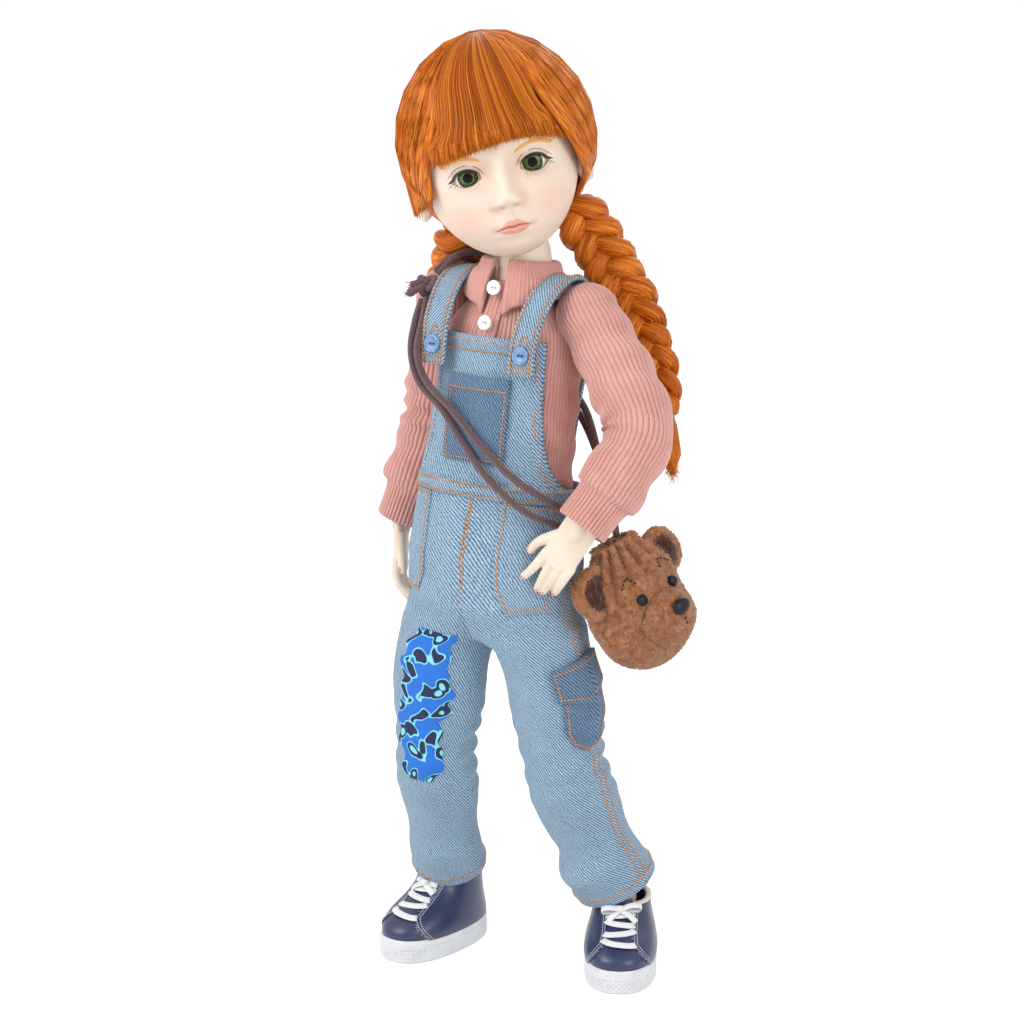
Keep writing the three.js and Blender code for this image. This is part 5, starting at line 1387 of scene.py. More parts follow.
shell_white = clouded("polished_shell", 0.22, "E4E2E4", "F7F5F3", 0.6, 3, (0.35, 0.65), Coat_Weight=0.6,
                      Coat_Roughness=0.1)
for key in ("upper", "lower"):
    button("shirt_button_shell_" + key, "shirt_button_" + key, 1.4, 0.1, 2.9, 1.5, shell_white,
           ("9A9490", "C9C4C0"), "shell_button")

# Overalls: washed blue denim in a white and blue twill, cut as front and back panels and sewn with
# golden-orange thread. The seat and both legs come first, each leg one tube from waist to hem.
twill_pitch = 0.95
stitch_length = 1.25
split_seat = 34
split_thigh = 50


def denim_cloth(name, pale, warp, deep):
    """Denim: slanting twill lines of blue over white threads, worn pale in cloudy patches."""
    material, tree, shader = new_material(name, 0.9, Sheen_Weight=0.15)
    across, along, _ = split_of(tree, on_cloth(tree))
    place = millimetres(tree)
    slant = math_of(tree, "ADD", math_of(tree, "MULTIPLY", across, 0.82 / twill_pitch),
                    math_of(tree, "MULTIPLY", along, 0.57 / twill_pitch))
    wobble = math_of(tree, "MULTIPLY", noise_of(tree, place, 0.9, 2), 0.9)
    phase = math_of(tree, "MULTIPLY", math_of(tree, "ADD", slant, wobble), 2 * math.pi)
    lines = math_of(tree, "SINE", phase)
    knots = math_of(tree, "MULTIPLY", noise_of(tree, place, 1.9, 3), 1.6)
    blue = mapped(tree, math_of(tree, "ADD", lines, knots), -0.1, 1.5, 0, 1, True)
    worn = mapped(tree, noise_of(tree, place, 0.07, 3), 0.35, 0.65)
    coloured(tree, shader, mixed(tree, blue, pale, mixed(tree, worn, deep, warp)))
    bumped(tree, shader, lines, 0.5, 0.18)
    return material


denim = denim_cloth("washed_blue_denim", "AEC2D1", "557D9D", "426B8B")
pocket_denim = denim_cloth("dark_pocket_denim", "7890A8", "3C5C7E", "2F4E70")
stitch_thread = clouded("orange_topstitch_thread", 0.55, "B56C1C", "EC9F3E", 1.5)


def stitching_tree():
    """Lays one short rounded stitch after another along each line of a mesh."""
    tree, given = node_group("stitches_along_lines", Lines="Geometry", Pitch="Float", Thickness="Float")
    curve = add_node(tree, "GeometryNodeMeshToCurve", {}, {"Mesh": given.outputs["Lines"]})
    even = add_node(tree, "GeometryNodeResampleCurve", {"mode": "LENGTH"},
                    {"Curve": curve.outputs[0], "Length": given.outputs["Pitch"]})
    bead = add_node(tree, "GeometryNodeMeshUVSphere", {}, {"Segments": 6, "Rings": 5, "Radius": 1.0})
    size = add_node(tree, "ShaderNodeCombineXYZ", {},
                    {"X": math_of(tree, "MULTIPLY", given.outputs["Pitch"], 0.42),
                     "Y": given.outputs["Thickness"], "Z": given.outputs["Thickness"]})
    way = add_node(tree, "GeometryNodeInputTangent")
    turned = add_node(tree, "FunctionNodeAlignRotationToVector", {"axis": "X"}, {"Vector": way.outputs[0]})
    laid = add_node(tree, "GeometryNodeInstanceOnPoints", {},
                    {"Points": even.outputs[0], "Instance": bead.outputs[0], "Rotation": turned.outputs[0],
                     "Scale": size.outputs[0]})
    return ended(tree, given, laid)


stitches_along_lines = stitching_tree()


def sewn(name, lines, thread=stitch_thread, pitch=stitch_length, thickness=0.33):
    """Rows of stitches along lines given in millimetres on the whole doll."""
    return made_by(stitches_along_lines, bare_lines(name, lines),
                   {"Pitch": pitch * MM, "Thickness": thickness * MM, "Material": thread}, name)


overall_sizes = np.array([(-14, 31, 20), (0, 34.5, 24), (12, 35.5, 25.6), (36, 33.4, 23.6), (42, 33.4, 23.6),
                          (62, 31, 23.2), (97, 29.5, 22.6)])
trouser_girths = {"left": [(0, 19.0), (0.3, 17.8), (0.55, 16.4), (0.8, 15.8), (1, 15.4)],
                  "right": [(0, 19.0), (0.3, 17.6), (0.55, 16.0), (0.8, 14.6), (1, 13.6)]}
shoe_break = {"left": 1.9, "right": 0.3}
legs = {"left": {"sign": 1, "hangs": (-3, -1.8, 0), "hem_above": 8.5, "slack": 0.0},
        "right": {"sign": -1, "hangs": (0, 0, 0), "hem_above": 6.5, "slack": 5.5}}
leg_columns = 240
leg_step = 0.9
leg_radius = 17
sewn_radius = 18
hull_power = 2.15
no_limit = 99


def overall_size(z):
    """Half the width and depth of the overalls at heights above the hips."""
    return tuple(np.interp(z, overall_sizes[:, 0], overall_sizes[:, k]) for k in (1, 2))


def hull_reach(centres, ways):
    """How far each way runs from its centre to the outside of the overalls, by halving."""
    low, high = np.zeros(ways.shape[:2]), np.full(ways.shape[:2], 62.0)
    for _ in range(15):
        middle = (low + high) / 2
        local = (centres[:, None] + ways * middle[..., None] - trunk_origin) @ trunk_axes.T
        width, depth = overall_size(local[..., 2])
        share = np.abs(local[..., 0] / width) ** hull_power + np.abs(local[..., 1] / depth) ** hull_power
        inside = share < 1
        low, high = np.where(inside, middle, low), np.where(inside, high, middle)
    return low


def leg_folds(angle, run, knee_at, hem_at, side):
    """Wrinkles in a trouser leg: fine ones at the knee, a deep break over the shoe."""
    front = np.sin(angle)
    break_front = 0.5 + 0.5 * np.cos(angle - np.radians(100 if side == "left" else 60))
    from_knee = run - knee_at
    from_hem = run - hem_at
    wide = 0.7 * np.sin(run * 0.16 + 1.7 * np.sin(angle + 0.5)) * np.clip((run + 6) / 30, 0, 1)
    knee = np.sin(from_knee * 0.62 + 2.2 * np.cos(angle)) * np.exp(-(from_knee / 17) ** 2)
    knee = knee * (0.75 - 0.45 * front)
    over_shoe = np.exp(-((from_hem + 15) / 5.5) ** 2) - 0.7 * np.exp(-((from_hem + 24) / 5) ** 2)
    over_shoe = over_shoe * (shoe_break[side] + 0.4) * break_front ** 2
    flare = np.clip((from_hem + 34) / 30, 0, 1) ** 1.5 * (0.6 - 0.4 * np.cos(angle))
    flare = flare * 0.45 * shoe_break[side]
    hip = 0.55 * np.sin(run * 0.5 - 3 * np.cos(angle)) * np.exp(-((run - 6) / 12) ** 2)
    return wide + knee + over_shoe + flare + hip * np.clip(front, 0, 1)


for side, leg in legs.items():
    hip, knee, ankle = (joints[name + side] for name in ("hip_spread_", "knee_", "ankle_"))
    inward = (hip + (ankle - hip) * 0.5 - knee) * 0.2 + leg["hangs"]
    hem = ankle + unit(knee - ankle) * leg["hem_above"]
    top = in_trunk([leg["sign"] * 17, 0, 37.5])
    way = [top, hip, hip + (knee - hip) * 0.6, knee + inward, (knee + ankle) / 2 + leg["hangs"], hem]
    line = smooth_line(way, 12)
    line = smooth_line(way, int(length_of(line) / leg_step))
    run = run_of(line)
    run -= run[np.argmin(np.linalg.norm(line - hip, axis=1))]
    across, over = side_axes(line, (1, -0.1, 0))
    angle = circle(leg_columns)
    ways = across[:, None] * np.cos(angle)[:, None] + over[:, None] * np.sin(angle)[:, None]
    girth = np.interp(np.clip(run / run[-1], 0, 1), *np.transpose(trouser_girths[side]))
    round_leg = np.clip((run + 2) / 22, 0, 1)
    round_leg = round_leg ** 2 * (3 - 2 * round_leg)
    reach = hull_reach(line, ways)
    knee_at = run[np.argmin(np.linalg.norm(line - knee - inward, axis=1))]
    reach += (girth[:, None] - reach) * round_leg[:, None]
    folds = leg_folds(angle[None], run[:, None], knee_at, run[-1], side)
    side_seam = np.minimum(angle, 2 * np.pi - angle) if side == "left" else np.abs(angle - np.pi)
    ridge = 0.35 * np.exp(-(side_seam * leg_radius / 1.1) ** 2)
    hem_fold = 0.5 * (run[:, None] > run[-1] - 5.2)
    # Slack below the seat, behind and outside, gives the thigh room when the leg spreads.
    behind = (0.5 + 0.5 * np.cos(angle - np.radians(205))) ** 3.5
    reach += leg["slack"] * behind * np.exp(-((run[:, None] - 33) / 14.5) ** 2)
    reach = reach + folds + ridge + hem_fold
    local = (line - trunk_origin) @ trunk_axes.T
    toward = -leg["sign"] * (ways @ trunk_axes[0])
    room = (np.abs(local[:, 0])[:, None] + 0.25) / np.maximum(toward, 0.02)
    reach = np.minimum(reach, np.where((toward > 0.02) & (run[:, None] < 40), room, no_limit))
    rings = line[:, None] + ways * reach[..., None]
    ends = [line[-1] + unit(line[-1] - line[-2]) * down + ways[-1] * (reach[-1] - shrink)[:, None]
            for down, shrink in ((0.5, 0.5), (0.3, 1.5), (-0.6, 2.0), (-12, 2.4))]
    around = np.roll(rings, -1, axis=1) - np.roll(rings, 1, axis=1)
    outward = np.cross(around, np.gradient(rings, axis=0))
    outward *= np.sign((outward * ways).sum()) / np.linalg.norm(outward, axis=2)[..., None]
    leg.update(rings=rings, run=run, line=line, knee_at=knee_at, ends=np.array(ends), outward=outward)


def on_leg(side, angle, run, lift):
    """Places over a trouser leg, by angle round it in degrees and length down from the hip."""
    leg = legs[side]
    step = leg["run"][1] - leg["run"][0]
    row, column, lift = np.broadcast_arrays((run - leg["run"][0]) / step,
                                            angle % 360 / 360 * leg_columns, lift)
    row = np.clip(row, 0, len(leg["run"]) - 1.001)
    i, j = row.astype(int), column.astype(int)
    u, v = (row - i)[..., None], (column - j)[..., None]
    j, next_j = j % leg_columns, (j + 1) % leg_columns

    def between(grid):
        return ((grid[i, j] * (1 - v) + grid[i, next_j] * v) * (1 - u)
                + (grid[i + 1, j] * (1 - v) + grid[i + 1, next_j] * v) * u)

    return between(leg["rings"]) + between(leg["outward"]) * lift[..., None]


def seat_moves():
    """A step that bakes a seat piece's place into its mesh."""
    crotch = in_trunk([0, 0, -13])
    return lambda obj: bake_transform(obj)


def leg_moves(side, start_run, end_run):
    """A step that bakes a piece's place along a length of leg into its mesh."""
    leg = legs[side]
    start, end = (read_along(at, leg["run"], leg["line"]) * MM for at in (start_run, end_run))
    return lambda obj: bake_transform(obj)


for side, leg in legs.items():
    leg["moves"] = {"seat": seat_moves(),
                    "thigh": leg_moves(side, split_seat, split_thigh),
                    "shin": leg_moves(side, leg["knee_at"] - 12, leg["knee_at"] + 14)}
    first, second = (int(np.argmin(np.abs(leg["run"] - at))) for at in (split_seat, split_thigh))
    cuts = {"seat": (0, first), "thigh": (first, second), "shin": (second, len(leg["run"]) - 1)}
    for part, (start, end) in cuts.items():
        rings, run = leg["rings"][start:end + 1], leg["run"][start:end + 1]
        if part == "shin":
            rings = np.vstack([rings, leg["ends"]])
            run = np.append(run, run[-1] + np.array([0.6, 1.6, 2.6, 14]))
        cloth = round_cloth(rings, 2 * np.pi * leg_radius, run)
        node = "overalls_seat" if part == "seat" else "trouser_" + part + "_" + side
        piece = rows_to_piece("overalls_" + part + "_" + side, rings, cloth, denim, (False, False))
        leg["moves"][part](piece)
        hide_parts(node)

# Seams of the legs: a double row of stitches down each side seam, one row round each hem and two
# curved rows at the fly.
for side, leg in legs.items():
    outer = 0 if side == "left" else 180
    hem_run = leg["run"][-1] - 4
    gap = 1.6 * np.degrees(1.1 / leg_radius)
    rows = {"seat": [], "thigh": [], "shin": [on_leg(side, np.linspace(0, 360, 160), hem_run, 0.12)]}
    for part, start, end in (("seat", leg["run"][0], split_seat), ("thigh", split_seat, split_thigh),
                             ("shin", split_thigh, hem_run)):
        down = np.arange(start, end, 0.8)
        rows[part] += [on_leg(side, outer + off, down, 0.12) for off in (gap, -gap)]
    if side == "left":
        fly_run = np.linspace(leg["run"][0], 4, 40)
        bend = np.clip((fly_run + 12) / 16, 0, 1)
        for wide in (11.5, 9.6):
            rows["seat"].append(on_leg(side, 128 - wide * (1 - bend ** 2.2), fly_run, 0.15))
    for part, lines in rows.items():
        seam = sewn("seam_stitches_" + part + "_" + side, lines)
        leg["moves"][part](seam)

# Waistband, bib and bib pocket: flat panels with turned edges. The bib's top and curved sides are
# hemmed, and its pocket, of darker denim, is sewn on with a deep hem across its mouth.
bib_edge = [(37, 33.2), (43, 31), (50, 27.5), (60, 25), (74, 23.6), (97, 23)]
bib_half = 25.0
bib_low, bib_top = 38, 97


def on_overalls(x, z, lift):
    """A place on the front of the overalls above the seat."""
    width, depth = overall_size(z)
    inside = np.clip(1 - np.abs(x / (width + lift)) ** hull_power, 0, 1) ** (1 / hull_power)
    return np.stack(np.broadcast_arrays(x, -(depth + lift) * inside, z), axis=-1)


def bib_sheet(across, z, lift):
    """A place on the bib, whose sides draw in towards the top."""
    half = np.interp(z, *np.transpose(bib_edge))
    x = across / bib_half * half
    hem = 0.45 * (np.minimum(half - np.abs(x), bib_top - z) < 3.4)
    ripple = 0.28 * np.sin(z * 0.33 + across * 0.2) * np.sin(across * 0.16 + 1)
    ripple = ripple * np.clip((bib_top - z) / 10, 0, 1)
    return on_overalls(x, z, lift - 1.3 + (hem + ripple) * (lift > 0))


bib = sheet_over("overalls_bib_panel", np.linspace(-bib_half, bib_half, 116),
                 np.linspace(bib_low, bib_top, 120), bib_sheet, 1.3, denim, in_trunk)
given_to(bib, "torso", "denim", "overalls_bib")


def pocket_lift(across, z, lift):
    """The bib pocket over the bib, thicker at its top hem."""
    hem = 0.4 * (z > 76.5) * (lift > 0)
    return on_overalls(across, z, lift + 0.35 + hem)


def squared(share, power):
    """A sine or cosine drawn outwards, so that a ring of them is an oval with fuller corners."""
    return np.sign(share) * np.abs(share) ** power


def band_ring(turns, z, lift, depth_lift):
    """A ring round the waist at height z."""
    width, depth = overall_size(z)
    return np.stack([squared(np.cos(turns), 0.93) * (width + lift),
                     squared(np.sin(turns), 0.93) * (depth + depth_lift), np.full(len(turns), z)], axis=1)


bib_pocket = sheet_over("bib_pocket_panel", np.linspace(-13.5, 13.5, 56), np.linspace(50, 82, 66),
                        pocket_lift, 1.0, pocket_denim, in_trunk)
given_to(bib_pocket, "torso", "dark_denim", "bib_pocket")
band_turns = circle(360)
band_section = [(36.2, 0.2), (36.4, 0.9), (39.3, 1.0), (42.2, 0.9), (42.5, 0.2), (42.2, -1.4), (36.4, -1.4),
                (36.2, 0.2)]
band_rows = np.array([band_ring(band_turns, z, lift, lift + 0.25 * np.sin(band_turns * 9))
                      for z, lift in band_section])
band_cloth = round_cloth(band_rows, 2 * np.pi * 29, [z for z, _ in band_section])
waistband = rows_to_piece("overalls_waistband", in_trunk(band_rows), band_cloth, denim, (False, False))
given_to(waistband, "torso", "denim")
heights = np.linspace(43.5, 95.2, 70)
half_there = np.interp(heights, *np.transpose(bib_edge)) - 1.9
bib_rows = [band_ring(np.linspace(0, 2 * np.pi, 300), z, 1.0, 1.1) for z in (37.4, 41.3)]
bib_rows += [on_overalls(sign * half_there, heights, 0.35) for sign in (-1, 1)]
bib_rows += [on_overalls(np.linspace(-21, 21, 60), z, 0.4) for z in (95.1, 91.4)]
bib_rows += [on_overalls(x, np.linspace(51, 80.5, 40), 1.45) for x in (-12.2, 12.2)]
bib_rows += [on_overalls(np.linspace(-12.2, 12.2, 30), z, lift) for z, lift in ((51, 1.45), (77.2, 1.85))]
given_to(sewn("bib_stitches", [in_trunk(row) for row in bib_rows]), "torso", "denim")

# Shoulder straps: folded denim with a row of stitches near each edge. Each runs from a button on the
# bib, where its end is squared, over the shoulder and down the back into the waistband.
strap_wide = 10.5
strap_way = [(19.7, -24.9, 84.6), (19.7, -24.9, 93), (20.3, -22.9, 103), (21.4, -14, 116),
             (21.5, 0, 120.9), (20.3, 12, 114.3), (16.7, 20.5, 99), (11.7, 23.9, 75), (7.7, 26.0, 41)]
strap_line = smooth_line(strap_way, 120)
strap_length = length_of(strap_line)
strap_outward = np.cross((1, 0, 0), np.gradient(strap_line, axis=0))
strap_outward *= -np.sign(strap_outward[0, 1]) / np.linalg.norm(strap_outward, axis=1)[:, None]


def strap_place(sign, across, along, lift):
    """A place on a strap, by millimetres across it and along it from its buttoned end."""
    marks = np.linspace(0, strap_length, len(strap_line))
    across, along, lift = np.broadcast_arrays(across, along, lift)
    at, outward = (read_along(along, marks, line) for line in (strap_line, strap_outward))
    crown = 0.25 * (strap_wide / 2 - np.abs(across) < 1.6) * (lift > 0)
    point = at + outward * (lift + crown)[..., None]
    point[..., 0] += across
    return point * (sign, 1, 1)


for side, sign in (("left", 1), ("right", -1)):
    strap = sheet_over("strap_" + side, np.linspace(-strap_wide / 2, strap_wide / 2, 26),
                       np.linspace(0, strap_length, 190),
                       lambda across, along, lift: strap_place(sign, across, along, lift - 0.2), 1.3, denim,
                       in_trunk)
    given_to(strap, "torso", "denim", "shoulder_strap_" + side)
    hole = np.linspace(0, 2 * np.pi, 20)
    lines = [strap_place(sign, x, np.linspace(1, strap_length - 4, 150), 1.4) for x in (-4.1, 4.1)]
    lines += [strap_place(sign, np.linspace(-4, 4, 12), end, 1.3) for end in (1.2, 3.0)]
    lines.append(strap_place(sign, 1.5 * np.sin(hole), 12 + 2.4 * np.cos(hole), 1.3))
    given_to(sewn("strap_stitches_" + side, [in_trunk(row) for row in lines]), "torso", "denim")

blue_resin = clouded("blue_resin_button", 0.22, "5F86B4", "7FA2CC", 0.6, 3, (0.35, 0.65), Coat_Weight=0.6,
                     Coat_Roughness=0.1)
for side in ("left", "right"):
    button("strap_button_disc_" + side, "strap_button_" + side, -0.2, 0.05, 3.5, 1.7, blue_resin,
           ("2C4466", "3E5C86"), "blue_button")

# Pockets on the legs: a patch pocket at the front of each hip and a darker cargo pocket with a
# pointed flap on the left thigh, each a turned-in panel sewn down near its edge.
stitch_inset = 1.3


def leg_panel(name, side, follow, middle, half, low, high, thickness, material, bottom=0.0,
              cut=0.0):
    """A panel sewn flat on a trouser leg with a row of stitches just inside its edge.

    Its lower edge is drawn down to a point by bottom, and its lower corners are drawn in by cut."""
    def place(across, along, lift):
        down = (along - low) / (high - low)
        point_down = bottom * (1 - np.abs(across) / half) * down
        narrow = 1 - cut * np.clip((down - 0.78) / 0.22, 0, 1)
        turn = middle + np.degrees(across * narrow / sewn_radius)
        return on_leg(side, turn, along + point_down, lift + 0.05)

    panel = sheet_over(name, np.linspace(-half, half, 60), np.linspace(low, high, 70), place, thickness,
                       material)
    wide, top, end = half - stitch_inset, low + stitch_inset, high - stitch_inset
    lift = thickness + 0.1
    lines = [place(x, np.linspace(top, end, 44), lift) for x in (-wide, wide)]
    lines += [place(np.linspace(-wide, wide, 30), z, lift) for z in (top, end)]
    for piece in (panel, sewn(name + "_stitches", lines)):
        follow(piece)
    return panel


def on_left_thigh(obj):
    """The cargo pocket goes with the thigh."""
    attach(obj, "thigh_left")


for side, middle in (("left", 58), ("right", 122)):
    leg_panel("hip_pocket_" + side, side, legs[side]["moves"]["seat"], middle, 10.5, -35.5, 3, 0.6,
              denim, 0.0, 0.28)
cargo = leg_panel("cargo_pocket_panel", "left", on_left_thigh, 12, 9.8, 29, 58, 1.3,
                  pocket_denim, 4.0, 0.3)
leg_panel("cargo_pocket_flap", "left", on_left_thigh, 12, 11.3, 26, 38, 2.4, pocket_denim, 4.0)
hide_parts("cargo_pocket")

# Hands: cast in the same vinyl as the head, slightly see-through, each with five fingers that curl
# a little and coral nails painted on.
wrist_frames = {
    "left": ((40.59, -30.40, 190.00),
             ((0.787, 0.289, -0.546), (-0.279, 0.955, 0.104), (0.551, 0.070, 0.832))),
    "right": ((-59.90, -1.41, 175.01),
              ((0.338, -0.897, 0.286), (0.931, 0.363, 0.042), (-0.141, 0.252, 0.957))),
}
finger_length = 15.0
finger_lengths = (0.92, 1.0, 0.96, 0.8)
finger_spread = {"left": (-7.6, -0.8, 1.6, 5.4), "right": (-5.2, -1.8, 1.6, 5.0)}
finger_curl = {"left": 2.4, "right": 5.5}
nail_paint = clouded("coral_nail_paint", 0.25, "E58C7C", "EFA394", 0.8, Coat_Weight=0.5)
nail_outline = np.sqrt(np.clip(1 - np.linspace(-0.93, 0.96, 10) ** 2, 0.05, 1))
finger_caps = [(0.5, 0.86), (0.86, 0.5), (0.98, 0.17)]
finger_sides, palm_sides = 16, 28
finger_points = 12


def melted(parts, name, voxel, smooth_times):
    """One smooth closed skin over parts that overlap."""
    points, faces, _ = joined(parts)
    obj = new_piece(name, points, faces, skin_vinyl)
    for kind, settings in (("REMESH", {"mode": "VOXEL", "voxel_size": voxel * MM, "use_smooth_shade": True}),
                           ("SMOOTH", {"factor": 0.5, "iterations": smooth_times})):
        modifier = obj.modifiers.new(kind.lower(), kind)
        for key, value in settings.items():
            setattr(modifier, key, value)
    bpy.context.view_layer.update()
    seen = obj.evaluated_get(bpy.context.evaluated_depsgraph_get())
    mesh = bpy.data.meshes.new_from_object(seen)
    obj.modifiers.clear()
    obj.data = mesh
    mesh.name = name
    return obj


def round_ended(line, radii):
    """A finger: a tube whose ends are rounded off."""
    line, radii = np.asarray(line, float), np.asarray(radii, float)
    alongs, shares = np.transpose(finger_caps)
    ends = line[-1] + np.outer(alongs, unit(line[-1] - line[-2])) * radii[-1]
    starts = line[0] + np.outer(alongs, unit(line[0] - line[1])) * radii[0]
    sizes = np.concatenate([radii[0] * shares[::-1], radii, radii[-1] * shares])
    return closed_tube(np.vstack([starts[::-1], line, ends]), sizes, finger_sides, first=(0.1, 1, 0))


for side, (origin, axes) in wrist_frames.items():
    palm = smooth_rings([(4, 3.6, 3.2), (-3, 3.7, 3.3), (-8, 5.0, 3.5), (-12.5, 6.6, 3.3),
                         (-18, 6.9, 2.6)], 14)
    points, faces = capped(len(palm), palm_sides, ovals(palm, palm_sides))
    parts = [(points, faces, points[:, :2]), round_ended([(0, 0, 0.5), (0, 0, -3)], [3.9, 3.7])]
    nails = []
    curl = finger_curl[side]
    thumb_side = {"left": -1, "right": 1}[side]
    for k, share in enumerate(finger_lengths):
        start_x = thumb_side * (5.4 - 3.6 * k)
        x_end = thumb_side * -finger_spread[side][k]
        length = finger_length * share
        way = smooth_line([(start_x, 0, -15.5), (start_x * 0.7 + x_end * 0.3, -0.4, -17 - length * 0.35),
                           (start_x * 0.35 + x_end * 0.65, curl * 0.3, -17 - length * 0.7),
                           (x_end, curl, -16 - length)], finger_points)
        parts.append(round_ended(way, np.linspace(2.1, 1.55, finger_points)))
        nails.append((way[-1], unit(way[-1] - way[-3]), np.array([0, -1.0, 0]), 1.15))
    thumb = smooth_line([(thumb_side * 4.6, 0.6, -6.5), (thumb_side * 8.2, 1.8, -11.5),
                         (thumb_side * 10.4, 3.0, -16), (thumb_side * 11.0, 3.6, -20)], finger_points)
    parts.append(round_ended(thumb, np.linspace(2.5, 1.75, finger_points)))
    nails.append((thumb[-1], unit(thumb[-1] - thumb[-3]), unit((thumb_side * 0.75, -0.6, 0)), 1.25))
    placed = [(in_frame(origin, axes, points), faces, cloth) for points, faces, cloth in parts]
    hand = melted(placed, "hand_vinyl_" + side, 0.42, 5)
    given_to(hand, "hand_" + side, "vinyl_skin", "hand_" + side)
    plates = []
    for tip, ahead, outward, wide in nails:
        outward = unit(outward - ahead * (outward @ ahead))
        middle = tip + outward * 0.98 - ahead * 0.2
        line = [middle - ahead * 1.3, middle - ahead * 0.5, middle + ahead * 0.6, middle + ahead * 1.3]
        plates.append(closed_tube(smooth_line(line, 10), wide * nail_outline, first=outward, depth=0.55))
    points, faces, skin = joined(plates)
    nail_plates = facing_out(new_piece("nails_" + side, in_frame(origin, axes, points), faces,
                                       nail_paint, skin))
    given_to(nail_plates, "hand_" + side, "vinyl_skin")

# Leg patch: a printed and heat-pressed felt patch on the right leg, cut along wavy edges in bright
# blue, with navy shapes outlined in pale cyan. Its motifs are generic waves, rings and drops.
patch_angle, patch_half, patch_low, patch_high = 74, 10.6, 17, 77


def patch_print():
    """The patch's print, by millimetres across and down it."""
    material, tree, shader = new_material("printed_patch_felt", 0.75)
    across, along, _ = split_of(tree, on_cloth(tree))
    where = add_node(tree, "ShaderNodeCombineXYZ", {}, {"X": across, "Y": along})
    blobs = add_node(tree, "ShaderNodeTexVoronoi", {"feature": "F1", "voronoi_dimensions": "2D"},
                     {"Vector": where.outputs[0], "Scale": 0.125, "Randomness": 0.75})
    sway = math_of(tree, "SINE", math_of(tree, "MULTIPLY", across, 0.5))
    swirl = math_of(tree, "SINE", math_of(tree, "ADD", math_of(tree, "MULTIPLY", along, 0.62),
                                          math_of(tree, "MULTIPLY", sway, 1.6)))
    away = math_of(tree, "ADD", blobs.outputs["Distance"], math_of(tree, "MULTIPLY", swirl, 0.16))
    shape = mapped(tree, away, 0.30, 0.33)
    line = mapped(tree, away, 0.37, 0.40)
    eye = mapped(tree, away, 0.05, 0.08)
    inner = mixed(tree, eye, "7FD8E6", "17204A")
    colour = mixed(tree, shape, inner, "86D9E8")
    coloured(tree, shader, mixed(tree, line, colour, "1F6FD0"))
    bumped(tree, shader, noise_of(tree, millimetres(tree), 4, 2), 0.2, 0.1)
    return material


def patch_place(across, along, lift):
    """A place on the patch, whose sides wander in and out."""
    sway = 1.6 * np.sin(along * 0.23 + 1) + 0.7 * np.sin(along * 0.61)
    narrow = 1 - 0.35 * np.clip(np.abs(along - (patch_low + patch_high) / 2) / 30, 0, 1) ** 4
    bumps = 1 + 0.1 * np.sin(along * 0.8) * np.abs(across) / patch_half
    x = across * narrow * bumps + sway
    return on_leg("right", patch_angle + np.degrees(x / sewn_radius), along, lift + 0.12)


patch = sheet_over("leg_patch_print", np.linspace(-patch_half, patch_half, 48),
                   np.linspace(patch_low, patch_high, 120), patch_place, 0.5, patch_print())
legs["right"]["moves"]["shin"](patch)
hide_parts("leg_patch")

# Shoes: low lace-up sneakers. Each upper is smooth navy leather with raw-edged side panels sewn over
# it, a tongue and a cream lining, on a moulded white rubber sole with a grid round its toe.
foot_frames = {"left": ((26.60, 26.61, 26.00), ((0.883, 0.469, 0), (-0.469, 0.883, 0), (0, 0, 1))),
               "right": ((-45.40, 11.60, 26.00), ((0.995, -0.105, 0), (0.105, 0.995, 0), (0, 0, 1)))}
shoe_sizes = [(8.6, 13.6, 26.2, 0), (11, 13.9, 26.4, 0), (13.5, 13.7, 25.6, 0.4), (17, 13.0, 22.8, 2.4),
              (21, 11.8, 18, 6.4), (25, 10.9, 14.9, 9.2), (28.4, 10.8, 13.4, 10.4)]
shoe_marks = [smooth_line([(sizes[0], sizes[k], 0) for sizes in shoe_sizes], 90) for k in (1, 2, 3)]
toe_narrowing = 0.06
foot_back, foot_high = 11, 26
sole_columns = 420
lace_half, lace_thick = 1.45, 0.34
lace_faces = (0, -0.6, 0.8)
fray_radius = 0.09


def shoe_place(angle, height, lift=0.0):
    """A place on the shoe's upper, by angle from its outer side in degrees and height off the floor."""
    angle, height = np.broadcast_arrays(np.radians(angle), height)
    width, length, back = (np.interp(height, marks[:, 0], marks[:, 1]) for marks in shoe_marks)
    c, s = np.cos(angle), np.sin(angle)
    x = squared(c, 0.87) * (width + lift) * (1 - toe_narrowing * s)
    y = squared(s, 0.87) * (length + lift) + back - foot_back
    return np.stack([x, y, height - foot_high], axis=-1)


leather, tree, shader = new_material("navy_shoe_leather", 0.38, Coat_Weight=0.25, Coat_Roughness=0.3)
grain = noise_of(tree, millimetres(tree), 1.6, 4)
coloured(tree, shader, mixed(tree, mapped(tree, grain, 0.35, 0.65), "1A2444", "26335A"))
bumped(tree, shader, grain, 0.25, 0.12)
lining = clouded("cream_shoe_lining", 0.9, "D9D0BF", "EAE3D6", 1.2)
rubber = clouded("white_sole_rubber", 0.55, "DEDFE1", "D6D7DA", 0.25, 3, (0.4, 0.7))
raw_edge = clouded("raw_grey_thread", 0.95, "A4A9B4", "E2E4E8", 2)
lace_cotton, tree, shader = new_material("white_cotton_lace", 0.95)
across, along, _ = split_of(tree, millimetres(tree))
braided = math_of(tree, "MULTIPLY", math_of(tree, "SINE", math_of(tree, "MULTIPLY", across, 9)),
                  math_of(tree, "SINE", math_of(tree, "MULTIPLY", along, 9)))
# Painted shade: the lace is darker where its braid sinks.
coloured(tree, shader, mixed(tree, mapped(tree, braided, -1, 1), "DFDFE2", "F4F4F5"))
bumped(tree, shader, braided, 0.5, 0.15)


